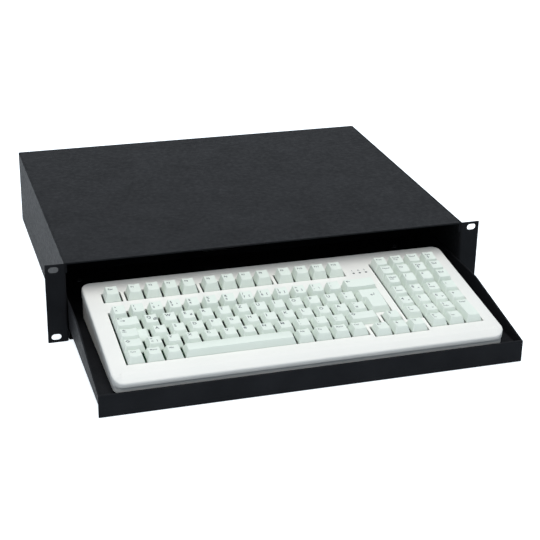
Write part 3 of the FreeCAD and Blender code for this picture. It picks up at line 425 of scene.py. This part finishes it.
def floor_material():
    """White floor that reads as a white page and still takes the object's shadow."""
    material, tree, shader = new_material("floor")
    shader.inputs["Base Color"].default_value = (*FLOOR_COLOUR, 1)
    shader.inputs["Roughness"].default_value = FLOOR_ROUGHNESS
    shader.inputs["Specular IOR Level"].default_value = 0.0
    glow = tree.nodes.new("ShaderNodeMath")
    glow.operation = "MULTIPLY"
    glow.inputs[1].default_value = FLOOR_GLOW
    tree.links.new(seen_rays(tree), glow.inputs[0])
    shader.inputs["Emission Color"].default_value = (*FLOOR_GLOW_COLOUR, 1)
    tree.links.new(glow.outputs["Value"], shader.inputs["Emission Strength"])
    return material


MATERIALS = {
    "black_paint": grained("black_powder_coat", (0.0088, 0.0089, 0.0101), (0.0142, 0.0145, 0.0162),
                           rough=(0.46, 0.60), grain=1300.0, relief=0.0006, specular=0.04,
                           cloud=22.0, tint=(0.72, 0.88, 1.0), edge=0.0009),
    "black_screws": grained("black_oxide", (0.012, 0.012, 0.014), (0.03, 0.03, 0.033),
                            rough=(0.28, 0.42), grain=2600.0, relief=0.0001),
    "slide_steel": grained("zinc_steel", (0.50, 0.51, 0.52), (0.66, 0.67, 0.68),
                           rough=(0.26, 0.40), grain=900.0, relief=0.00008, metallic=1.0,
                           stretch=(1, 0.06, 1)),
    "black_rubber": grained("black_rubber", (0.012, 0.012, 0.012), (0.03, 0.03, 0.03),
                            rough=(0.72, 0.86), grain=2200.0, relief=0.0002, specular=0.3),
    "case_plastic": grained("case_plastic", (0.805, 0.80, 0.76), (0.83, 0.82, 0.78),
                            rough=(0.42, 0.54), grain=2600.0, relief=0.00012, specular=0.35),
    "key_plastic": grained("key_plastic", (0.74, 0.805, 0.735), (0.77, 0.83, 0.76),
                           rough=(0.36, 0.46), grain=3400.0, relief=0.00008, specular=0.4),
    "switch_plastic": grained("switch_plastic", (0.02, 0.02, 0.022), (0.035, 0.035, 0.04),
                              rough=(0.4, 0.55), grain=2600.0, relief=0.0001),
    "board_laminate": grained("board_laminate", (0.012, 0.09, 0.035), (0.02, 0.13, 0.05),
                              rough=(0.25, 0.4), grain=500.0, relief=0.0001),
    "led_lens": grained("led_lens", (0.05, 0.065, 0.07), (0.08, 0.1, 0.105),
                        rough=(0.08, 0.14), grain=900.0, relief=0.00003),
}
INK = grained("legend_ink", (0.08, 0.09, 0.105), (0.12, 0.13, 0.145), rough=(0.5, 0.6),
              grain=900.0, relief=0.00002)


# Placing pieces

def add_object(name, data):
    """A new object in the scene."""
    made = bpy.data.objects.new(name, data)
    bpy.context.scene.collection.objects.link(made)
    return made


def add_piece(name, mesh, node, slot, *others):
    """A mesh in the place of a CAD node, riding on that node's body."""
    piece = add_object(name, mesh)
    for material in (MATERIALS[slot], *others):
        mesh.materials.append(material)
    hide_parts(node)
    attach(piece, frame["nodes"][node]["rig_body"])


def finish_piece(name, bm, carry, node, slot, *others):
    """A mesh carried to its place in metres, as the piece that stands for a node."""
    bm.transform(carry @ Matrix.Scale(MM, 4))
    mesh = bpy.data.meshes.new(name)
    bm.to_mesh(mesh)
    bm.free()
    add_piece(name, mesh, node, slot, *others)


def dress_frame():
    """Procedural materials on the CAD pieces that keep their own shape."""
    slots = {s["node"]: s["material_slot"] for s in frame["record"]["subparts"]}
    for name, node in frame["nodes"].items():
        node.data.materials.clear()
        node.data.materials.append(MATERIALS[slots[name]])


# Outlines and rings

def rectangle(x0, x1, y0, y1):
    """Corners of a rectangle, from the front left one round to the rear left one."""
    return [(x0, y0), (x1, y0), (x1, y1), (x0, y1)]


def inset(outline, share, extra):
    """An outline of square corners, drawn in by a share of each side's taper and an extra."""
    drawn = []
    count = len(outline)
    for i in range(count):
        x, y = outline[i]
        for a, b in ((outline[i - 1], outline[i]), (outline[i], outline[(i + 1) % count])):
            if b[0] > a[0]:
                y = a[1] + FRONT_TAPER * share + extra
            elif b[0] < a[0]:
                y = a[1] - REAR_TAPER * share - extra
            elif b[1] > a[1]:
                x = a[0] - SIDE_TAPER * share - extra
            else:
                x = a[0] + SIDE_TAPER * share + extra
        drawn.append((x, y))
    return drawn


def rounded_ring(outline, radius):
    """Evenly counted points round an outline with its corners rounded."""
    points = []
    count = len(outline)
    for i in range(count):
        corner = Vector(outline[i])
        came = (corner - Vector(outline[i - 1])).normalized()
        goes = (Vector(outline[(i + 1) % count]) - corner).normalized()
        centre = corner + (goes - came) * radius
        for step in range(CORNER_STEPS + 1):
            turn = math.pi / 2 * step / CORNER_STEPS
            points.append(centre + (came * math.sin(turn) - goes * math.cos(turn)) * radius)
        last = points[-1]
        following = Vector(outline[(i + 1) % count]) - goes * radius
        for step in range(1, SIDE_STEPS):
            points.append(last.lerp(following, step / SIDE_STEPS))
    return points


def add_ring(bm, points, height):
    """Vertices of one ring, each at its own height."""
    return [bm.verts.new((p.x, p.y, height(p.x, p.y))) for p in points]


def bridge(bm, lower, upper):
    """Faces between two rings of as many points."""
    count = len(lower)
    made = []
    for i in range(count):
        j = (i + 1) % count
        made.append(bm.faces.new((lower[i], lower[j], upper[j], upper[i])))
    return made


def bridge_all(bm, rings):
    """Faces between each ring and the next."""
    for lower, upper in zip(rings, rings[1:]):
        bridge(bm, lower, upper)


# Keycaps

def add_cap(bm, outline, top, rings_on_top=True):
    """A hollow cap over an outline whose upper surface follows top(x, y)."""
    low = -SKIRT_DEPTH
    ceiling = rounded_ring(inset(outline, CEILING_SHARE, CAP_WALL), BASE_CORNER / 2)
    mouth = rounded_ring(inset(outline, 0, CAP_WALL), BASE_CORNER / 2)
    rings = [add_ring(bm, ceiling, lambda x, y: CAP_CEILING), add_ring(bm, mouth, lambda x, y: low)]
    bm.faces.new(rings[0])
    base = rounded_ring(outline, BASE_CORNER)
    rings.append(add_ring(bm, base, lambda x, y: low))
    for share in SIDE_SHARES:
        radius = BASE_CORNER + (TOP_CORNER - BASE_CORNER) * share
        points = rounded_ring(inset(outline, share, 0), radius)
        rings.append(add_ring(bm, points, lambda x, y, s=share: (
            SKIRT_TOP + s * (top(x, y) - SKIRT_TOP))))
    for extra, drop in EDGE_SHARES:
        points = rounded_ring(inset(outline, 1, extra * EDGE_ROUND), TOP_CORNER)
        rings.append(add_ring(bm, points, lambda x, y, d=drop: top(x, y) - d * EDGE_ROUND))
    bridge_all(bm, rings)
    last = rings[-1]
    centre = sum((v.co for v in last), Vector()) / len(last)
    for share in TOP_SHARES if rings_on_top else ():
        points = [Vector((centre.x + (v.co.x - centre.x) * share,
                          centre.y + (v.co.y - centre.y) * share)) for v in rings[-1]]
        inner = add_ring(bm, points, top)
        bridge(bm, last, inner)
        last = inner
    bm.faces.new(last)


def add_stem(bm, place):
    """The stem under the middle of a cap, which slides in its switch."""
    u0, u1, v0, v1 = place
    x, y = (u0 + u1) / 2 * KEY_PITCH, (v0 + v1) / 2 * KEY_PITCH
    wide, deep = STEM_HALF
    points = rounded_ring(rectangle(x - wide, x + wide, y - deep, y + deep), STEM_CORNER)
    foot = add_ring(bm, points, lambda x, y: STEM_FOOT)
    root = add_ring(bm, points, lambda x, y: CAP_CEILING + STEM_BITE)
    bridge(bm, foot, root)
    bm.faces.new(foot)
    bm.faces.new(root)


def cap_outline(place):
    """Corners of a cap's skirt between lines of the key field."""
    u0, u1, v0, v1 = place
    return rectangle(u0 * KEY_PITCH + GAP_ACROSS / 2, u1 * KEY_PITCH - GAP_ACROSS / 2,
                     v0 * KEY_PITCH + GAP_ALONG / 2, v1 * KEY_PITCH - GAP_ALONG / 2)


def cap_top(place, heights, dish=CAP_DISH):
    """The height of a cap's upper surface as a function: its slope less its dish."""
    (x0, y0), _, (x1, y1), _ = inset(cap_outline(place), 1, 0)
    front, rear = heights
    middle = (x0 + x1) / 2
    half = (x1 - x0) / 2

    def height(x, y):
        slope = front + (rear - front) * (y - y0) / (y1 - y0)
        across = min(1.0, abs(x - middle) / half)
        return slope - dish * (1 - across ** 2)
    return height


def crowned_top(place, heights):
    """The height of a bar's upper surface as a function, rounded from front to rear."""
    (_, y0), _, (_, y1), _ = inset(cap_outline(place), 1, 0)
    front, rear = heights

    def height(x, y):
        share = (y - y0) / (y1 - y0)
        return front + (rear - front) * share - BAR_CROWN * (2 * share - 1) ** 2
    return height


# Legends

def glyphs(text, size):
    """Flat triangles of a piece of text, in millimetres."""
    curve = bpy.data.curves.new("text", "FONT")
    curve.body = text
    curve.size = size
    curve.offset = size * LEGEND_BOLD
    curve.align_y = "TOP"
    curve.resolution_u = LEGEND_CURVES
    holder = bpy.data.objects.new("text", curve)
    mesh = bpy.data.meshes.new_from_object(holder)
    points = [(v.co.x, v.co.y) for v in mesh.vertices]
    faces = [tuple(p.vertices) for p in mesh.polygons]
    bpy.data.objects.remove(holder)
    bpy.data.meshes.remove(mesh)
    bpy.data.curves.remove(curve)
    return points, faces


def symbol(name, size):
    """Flat strokes of a symbol, from its upper left corner."""
    points = []
    faces = []
    half = SYMBOL_STROKE / 2
    for line in SYMBOLS[name]:
        for start, end in zip(line, line[1:]):
            a = Vector(start) * size
            b = Vector(end) * size
            along = (b - a).normalized() * half
            across = Vector((-along.y, along.x))
            first = len(points)
            for corner in (a - along - across, b + along - across,
                           b + along + across, a - along + across):
                points.append((corner.x, corner.y - size))
            faces.append((first, first + 1, first + 2, first + 3))
    return points, faces


def add_mark(bm, mark, left, rear, size, top):
    """A mark lying on an upper surface, cut into strips so that it follows the surface."""
    points, faces = symbol(mark, SYMBOL_SIZE) if mark in SYMBOLS else glyphs(mark, size)
    flat = bmesh.new()
    verts = [flat.verts.new((left + x, rear + y, 0)) for x, y in points]
    for face in faces:
        flat.faces.new([verts[i] for i in face])
    reach = max((x for x, _ in points), default=0)
    cut = left + LEGEND_STEP
    while cut < left + reach:
        geometry = flat.verts[:] + flat.edges[:] + flat.faces[:]
        bmesh.ops.bisect_plane(flat, geom=geometry, plane_co=(cut, 0, 0), plane_no=(1, 0, 0))
        cut += LEGEND_STEP
    for vert in flat.verts:
        vert.co.z = top(vert.co.x, vert.co.y) + LEGEND_LIFT
    for face in flat.faces:
        face.material_index = 1
    mesh = bpy.data.meshes.new("mark")
    flat.to_mesh(mesh)
    flat.free()
    bm.from_mesh(mesh)
    bpy.data.meshes.remove(mesh)


def label_cap(bm, text, place, top):
    """The legend of a cap: marks at its rear left, below that, and at its right."""
    (x0, _), _, (_, y1), _ = inset(cap_outline(place), 1, 0)
    first, second, third = (text.split("~") + ["", ""])[:3]
    word = len(first) > 1 and first not in SYMBOLS
    if word:
        size = SHORT_WORD_SIZE if len(first) <= SHORT_WORD else WORD_SIZE
    else:
        size = PAIR_SIZE if second else LETTER_SIZE
    start = WORD_START if word else LETTER_START
    left, rear = x0 + start[0], y1 - start[1]
    if first:
        add_mark(bm, first, left, rear, size, top)
    if second:
        below = rear - (WORD_DROP if word else LETTER_DROP)
        add_mark(bm, second, left, below, SECOND_WORD_SIZE if len(second) > 1 else size, top)
    if third:
        add_mark(bm, third, x0 + THIRD_START, rear - THIRD_DROP, THIRD_SIZE, top)


# Keys

def add_key(caps, labels, place, top, legend):
    """A rectangular cap with its stem and its legend."""
    add_cap(caps, cap_outline(place), top)
    add_stem(caps, place)
    label_cap(labels, legend, place, top)


def build_key_runs():
    """Every plain run of caps."""
    for node, row, v, u, widths, legends in KEY_RUNS:
        caps = bmesh.new()
        labels = bmesh.new()
        for width, legend in zip(widths, legends.split(" ")):
            place = (u, u + width, v, v + 1)
            add_key(caps, labels, place, cap_top(place, ROW_HEIGHTS[row]), legend)
            u += width
        finish_keys(node, caps, labels)


def finish_keys(node, caps, labels):
    """Caps and their legends joined into the piece that stands for a node."""
    bmesh.ops.recalc_face_normals(caps, faces=caps.faces)
    text = bpy.data.meshes.new("labels")
    labels.to_mesh(text)
    labels.free()
    caps.from_mesh(text)
    bpy.data.meshes.remove(text)
    for face in caps.faces:
        face.smooth = face.material_index == 0
    caps.transform(FIELD @ Matrix.Scale(MM, 4))
    mesh = bpy.data.meshes.new(node)
    caps.to_mesh(mesh)
    caps.free()
    add_piece("caps_" + node, mesh, node, "key_plastic", INK)


def build_caps_lock():
    """Stepped cap: raised at the left, low at the right."""
    caps = bmesh.new()
    labels = bmesh.new()
    front, rear = ROW_HEIGHTS["home"]
    raised = cap_top(CAPS_LOCK_RAISED, (front, rear))
    add_cap(caps, cap_outline(CAPS_LOCK_RAISED), raised)
    low = cap_top(CAPS_LOCK, (front - STEP_DROP, rear - STEP_DROP), 0.0)
    add_cap(caps, cap_outline(CAPS_LOCK), low)
    add_stem(caps, CAPS_LOCK_RAISED)
    label_cap(labels, "caps", CAPS_LOCK_RAISED, raised)
    finish_keys("key_caps_lock", caps, labels)


def build_enter():
    """L-shaped cap over two rows, wider at the rear."""
    caps = bmesh.new()
    labels = bmesh.new()
    top = cap_top(ENTER_FRONT, (ROW_HEIGHTS["home"][0], ROW_HEIGHTS["upper"][1]), 0.0)
    low = cap_outline(ENTER_FRONT)
    high = cap_outline(ENTER_REAR)
    outline = [low[0], low[1], low[2], high[3], high[0], (low[0][0], high[0][1])]
    add_cap(caps, outline, top, rings_on_top=False)
    add_stem(caps, ENTER_FRONT)
    label_cap(labels, "enter", ENTER_LABEL, top)
    finish_keys("key_enter", caps, labels)


def build_space():
    """Long bar with a crowned top and no legend."""
    caps = bmesh.new()
    labels = bmesh.new()
    add_key(caps, labels, SPACE_BAR, crowned_top(SPACE_BAR, ROW_HEIGHTS["bottom"]), "")
    finish_keys("key_space", caps, labels)


def build_pad_enter():
    """Cap over two rows of the number pad."""
    caps = bmesh.new()
    labels = bmesh.new()
    heights = (ROW_HEIGHTS["bottom"][0], ROW_HEIGHTS["lower"][1])
    add_key(caps, labels, PAD_ENTER, cap_top(PAD_ENTER, heights), "Enter")
    finish_keys("key_pad_enter", caps, labels)


# Case

def keep_flat(faces):
    """Marks faces that aren't shaded smooth."""
    for face in faces:
        face.tag = True


def fill_plane(bm, rings, normal=(0, 0, 1)):
    """Flat faces between an outer ring and the rings of its holes."""
    edges = []
    for ring in rings:
        for a, b in zip(ring, ring[1:] + ring[:1]):
            edges.append(bm.edges.get((a, b)) or bm.edges.new((a, b)))
    made = bmesh.ops.triangle_fill(bm, use_beauty=True, edges=edges, normal=normal)
    keep_flat(item for item in made["geom"] if isinstance(item, bmesh.types.BMFace))


def smooth_rest(bm):
    """Smooth shading on all faces but the flat ones."""
    bmesh.ops.recalc_face_normals(bm, faces=bm.faces)
    for face in bm.faces:
        face.smooth = not face.tag


def case_level(bm, side, front):
    """A ring of the case, so far in and so far down at its sides and at its front."""
    (x0, x1), (y0, y1) = CASE_X, CASE_Y
    verts = []
    for point in rounded_ring(rectangle(x0, x1, y0, y1), CASE_CORNER):
        centre = Vector((min(max(point.x, x0 + CASE_CORNER), x1 - CASE_CORNER),
                         min(max(point.y, y0 + CASE_CORNER), y1 - CASE_CORNER)))
        outward = (point - centre).normalized()
        share = max(0.0, -outward.y) ** 2
        drawn_in, down = Vector(side).lerp(Vector(front), share)
        place = point - outward * drawn_in
        verts.append(bm.verts.new((place.x, place.y, -down)))
    return verts


def opening_ring(bm, corners, extra, height):
    """A ring round an opening of the case, a little wider than its keys' places."""
    outline = [(u * KEY_PITCH, v * KEY_PITCH) for u, v in corners]
    widened = [(x, y) for (x, _), (_, y) in zip(inset(outline, 0, -MARGIN_ACROSS), outline)]
    points = rounded_ring(inset(widened, 0, -extra), OPENING_CORNER)
    return add_ring(bm, points, lambda x, y: height)


def light_ring(bm, u, v, height):
    """The edge of a light's hole."""
    verts = []
    for i in range(LIGHT_SIDES):
        turn = 2 * math.pi * i / LIGHT_SIDES
        verts.append(bm.verts.new((u * KEY_PITCH + LIGHT_HOLE * math.cos(turn),
                                   v * KEY_PITCH + LIGHT_HOLE * math.sin(turn), height)))
    return verts


def add_openings(bm):
    """Walls of the key openings and the lights' holes, with the rings at both their ends."""
    upper = []
    lower = []
    middle = ROUND_MIDDLE * OPENING_ROUND
    for corners in OPENINGS:
        steps = [opening_ring(bm, corners, OPENING_ROUND, 0),
                 opening_ring(bm, corners, middle, -middle),
                 opening_ring(bm, corners, 0, -OPENING_ROUND),
                 opening_ring(bm, corners, 0, -CASE_WALL)]
        bridge_all(bm, steps)
        upper.append(steps[0])
        lower.append(steps[-1])
    for u, v, _ in LIGHTS:
        upper.append(light_ring(bm, u, v, 0))
        lower.append(light_ring(bm, u, v, -CASE_WALL))
        bridge(bm, upper[-1], lower[-1])
    return upper, lower


def build_top_case():
    """Upper shell with a rolled front edge, softened openings and the lights' marks."""
    bm = bmesh.new()
    wall, deep = CASE_WALL, CASE_DEPTH
    rings = [
        case_level(bm, (wall, wall), (FRONT_ROLL[-1][0], wall)),
        case_level(bm, (wall, 2 * wall), (wall, FRONT_ROLL[0][1])),
        case_level(bm, (wall, deep), (wall, deep)),
        case_level(bm, (GROOVE, deep), (GROOVE, deep)),
        case_level(bm, (0, deep - GROOVE), (0, deep - GROOVE)),
    ]
    for side, front in zip(SIDE_ROLL, FRONT_ROLL):
        rings.append(case_level(bm, side, front))
    bridge_all(bm, rings)
    upper_holes, lower_holes = add_openings(bm)
    fill_plane(bm, [rings[-1]] + upper_holes)
    fill_plane(bm, [rings[0]] + lower_holes)
    smooth_rest(bm)
    for u, v, mark in LIGHTS:
        add_mark(bm, mark, u * KEY_PITCH - LIGHT_MARK_LEFT, v * KEY_PITCH + LIGHT_MARK_REAR,
                 LIGHT_MARK_SIZE, lambda x, y: 0.0)
    finish_piece("upper_case", bm, FIELD, "keyboard_top_case", "case_plastic", INK)


# Top cover

def build_cover():
    """Top sheet folded down at its sides, notched at the rear for the side plates' returns."""
    half, top, low, sheet = COVER_HALF, COVER_TOP, COVER_TOP - COVER_FLANGE, SHEET
    section = [(-half, low), (-half + sheet, low), (-half + sheet, top - sheet),
               (half - sheet, top - sheet), (half - sheet, low), (half, low), (half, top),
               (-half, top)]
    bm = bmesh.new()
    points = rounded_ring(section, COVER_BEND)
    front = [bm.verts.new((p.x, 0, p.y)) for p in points]
    rear = [bm.verts.new((p.x, COVER_REAR - COVER_NOTCH, p.y)) for p in points]
    bridge(bm, front, rear)
    under, over = top - sheet + COVER_SLACK, top - COVER_SLACK
    tongue = rectangle(-COVER_TONGUE, COVER_TONGUE, under, over)
    root = [bm.verts.new((x, COVER_REAR - COVER_NOTCH, z)) for x, z in tongue]
    tip = [bm.verts.new((x, COVER_REAR, z)) for x, z in tongue]
    tongue_sides = bridge(bm, root, tip)
    fill_plane(bm, [front], (0, -1, 0))
    fill_plane(bm, [rear, root], (0, 1, 0))
    fill_plane(bm, [tip], (0, 1, 0))
    keep_flat(tongue_sides)
    smooth_rest(bm)
    finish_piece("cover_sheet", bm, Matrix.Identity(4), "top_cover", "black_paint")


# Turned pieces

def turned(bm, profile, place, turn=UPWARD, sides=ROUND_SIDES, closed=False):
    """A round form from (radius, height) pairs. A closed one is a ring round its axis."""
    rings = []
    for radius, height in profile:
        ring = []
        for i in range(sides):
            a = 2 * math.pi * i / sides
            spot = turn @ Vector((radius * math.cos(a), radius * math.sin(a), height))
            ring.append(bm.verts.new(spot + Vector(place)))
        rings.append(ring)
    bridge_all(bm, rings)
    if closed:
        bridge(bm, rings[-1], rings[0])
    else:
        bm.faces.new(rings[0])
    return rings


def add_screw(bm, place, turn, height, reach):
    """A pan-head screw with a cross recess."""
    profile = [(SHANK_TIP, -reach), (SHANK_RADIUS, -reach + SHANK_CHAMFER), (SHANK_RADIUS, 0)]
    profile += [(HEAD_RADIUS * out, height * up) for out, up in HEAD_SHARES]
    rings = turned(bm, profile, place, turn)
    arm, half = HEAD_RADIUS * CROSS_ARM, HEAD_RADIUS * CROSS_HALF
    cross = [(arm, -half), (arm, half), (half, half), (half, arm), (-half, arm), (-half, half),
             (-arm, half), (-arm, -half), (-half, -half), (-half, -arm), (half, -arm),
             (half, -half)]
    recess = []
    for share, depth in RECESS_SHARES:
        level = height * (1 - depth)
        recess.append([bm.verts.new(turn @ Vector((x * share, y * share, level)) + Vector(place))
                       for x, y in cross])
    walls = bridge(bm, *recess)
    bm.faces.new(recess[1])
    fill_plane(bm, [rings[-1], recess[0]], turn @ Vector((0, 0, 1)))
    keep_flat(walls)


def build_screws():
    """The screws at the housing's rear and those in the tray."""
    for node, places, turn, height, reach in SCREWS:
        bm = bmesh.new()
        for place in places:
            add_screw(bm, place, turn, height, reach)
        smooth_rest(bm)
        finish_piece("cross_" + node, bm, Matrix.Identity(4), node, "black_screws")


def build_lenses():
    """The three lights in the case."""
    bm = bmesh.new()
    for u, v, _ in LIGHTS:
        rings = turned(bm, LENS_PROFILE, (u * KEY_PITCH, v * KEY_PITCH, 0), sides=LIGHT_SIDES)
        bm.faces.new(rings[-1])
    smooth_rest(bm)
    finish_piece("light_lenses", bm, FIELD, "indicator_leds", "led_lens")


def build_feet():
    """Round rubber feet in the corners of the solid feet's box."""
    low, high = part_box("rubber_feet")
    bm = bmesh.new()
    base = low[2] / MM
    rise = (high[2] - low[2]) / MM
    for x in (low[0] / MM + FOOT_INSET, high[0] / MM - FOOT_INSET):
        for y in (low[1] / MM + FOOT_INSET, high[1] / MM - FOOT_INSET):
            rings = turned(bm, FOOT_EDGE + [(FOOT_RADIUS, rise)], (x, y, base))
            bm.faces.new(rings[-1])
    smooth_rest(bm)
    finish_piece("round_feet", bm, Matrix.Identity(4), "rubber_feet", "black_rubber")


def build_bush():
    """The round bush where the keyboard's cable comes in."""
    low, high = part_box("cable_grommet")
    middle = [(a + b) / 2 / MM for a, b in zip(low, high)]
    bm = bmesh.new()
    turned(bm, BUSH_PROFILE, middle, BACKWARD, closed=True)
    smooth_rest(bm)
    finish_piece("cable_bush", bm, Matrix.Identity(4), "cable_grommet", "black_rubber")


# Stage

def look_matrix(place, azimuth, elevation, roll):
    """A camera's matrix from where it stands and its angles, in degrees."""
    a = math.radians(azimuth)
    e = math.radians(elevation)
    r = math.radians(roll)
    ahead = Vector((math.cos(e) * math.sin(a), math.cos(e) * math.cos(a), -math.sin(e)))
    flat = Vector((math.cos(a), -math.sin(a), 0))
    upright = flat.cross(ahead)
    right = flat * math.cos(r) + upright * math.sin(r)
    up = upright * math.cos(r) - flat * math.sin(r)
    turn = Matrix((right, up, -ahead)).transposed()
    return Matrix.Translation(place) @ turn.to_4x4()


def add_camera():
    """The camera of the photograph."""
    data = bpy.data.cameras.new("camera")
    data.sensor_width = SENSOR_WIDTH
    data.lens = CAMERA_LENS
    data.clip_start, data.clip_end = CAMERA_CLIP
    camera = add_object("camera", data)
    camera.matrix_world = look_matrix(Vector(CAMERA_PLACE), CAMERA_AZIMUTH,
                                      CAMERA_ELEVATION, CAMERA_ROLL)
    bpy.context.scene.camera = camera


def add_floor():
    """A wide white floor under the object."""
    bm = bmesh.new()
    bmesh.ops.create_grid(bm, x_segments=FLOOR_CELLS, y_segments=FLOOR_CELLS, size=FLOOR_HALF)
    mesh = bpy.data.meshes.new("floor")
    bm.to_mesh(mesh)
    bm.free()
    mesh.materials.append(floor_material())
    floor = add_object("floor", mesh)
    floor.location.z = cad_bounds[0][2] - FLOOR_DROP


def add_lamp():
    """A square soft lamp over the object."""
    data = bpy.data.lights.new("overhead", "AREA")
    data.shape = "SQUARE"
    data.size = LAMP_SIZE
    data.energy = LAMP_WATTS
    data.color = LAMP_COLOUR
    lamp = add_object("overhead", data)
    lamp.location = LAMP_PLACE
    direction = Vector(LAMP_TARGET) - Vector(LAMP_PLACE)
    lamp.rotation_euler = direction.to_track_quat("-Z", "Y").to_euler()


def light_world():
    """Dim even light all round, white where the camera or a reflection sees the backdrop."""
    world = bpy.data.worlds.new("studio")
    bpy.context.scene.world = world
    world.use_nodes = True
    tree = world.node_tree
    background = tree.nodes["Background"]
    colour = two_tone(tree, seen_rays(tree), WORLD_LIGHT, BACKDROP)
    tree.links.new(colour, background.inputs["Color"])


def main():
    dress_frame()
    build_key_runs()
    build_caps_lock()
    build_enter()
    build_space()
    build_pad_enter()
    build_top_case()
    build_cover()
    build_screws()
    build_lenses()
    build_feet()
    build_bush()
    add_floor()
    add_camera()
    light_world()
    add_lamp()
    bpy.context.scene.view_settings.view_transform = "Standard"


main()
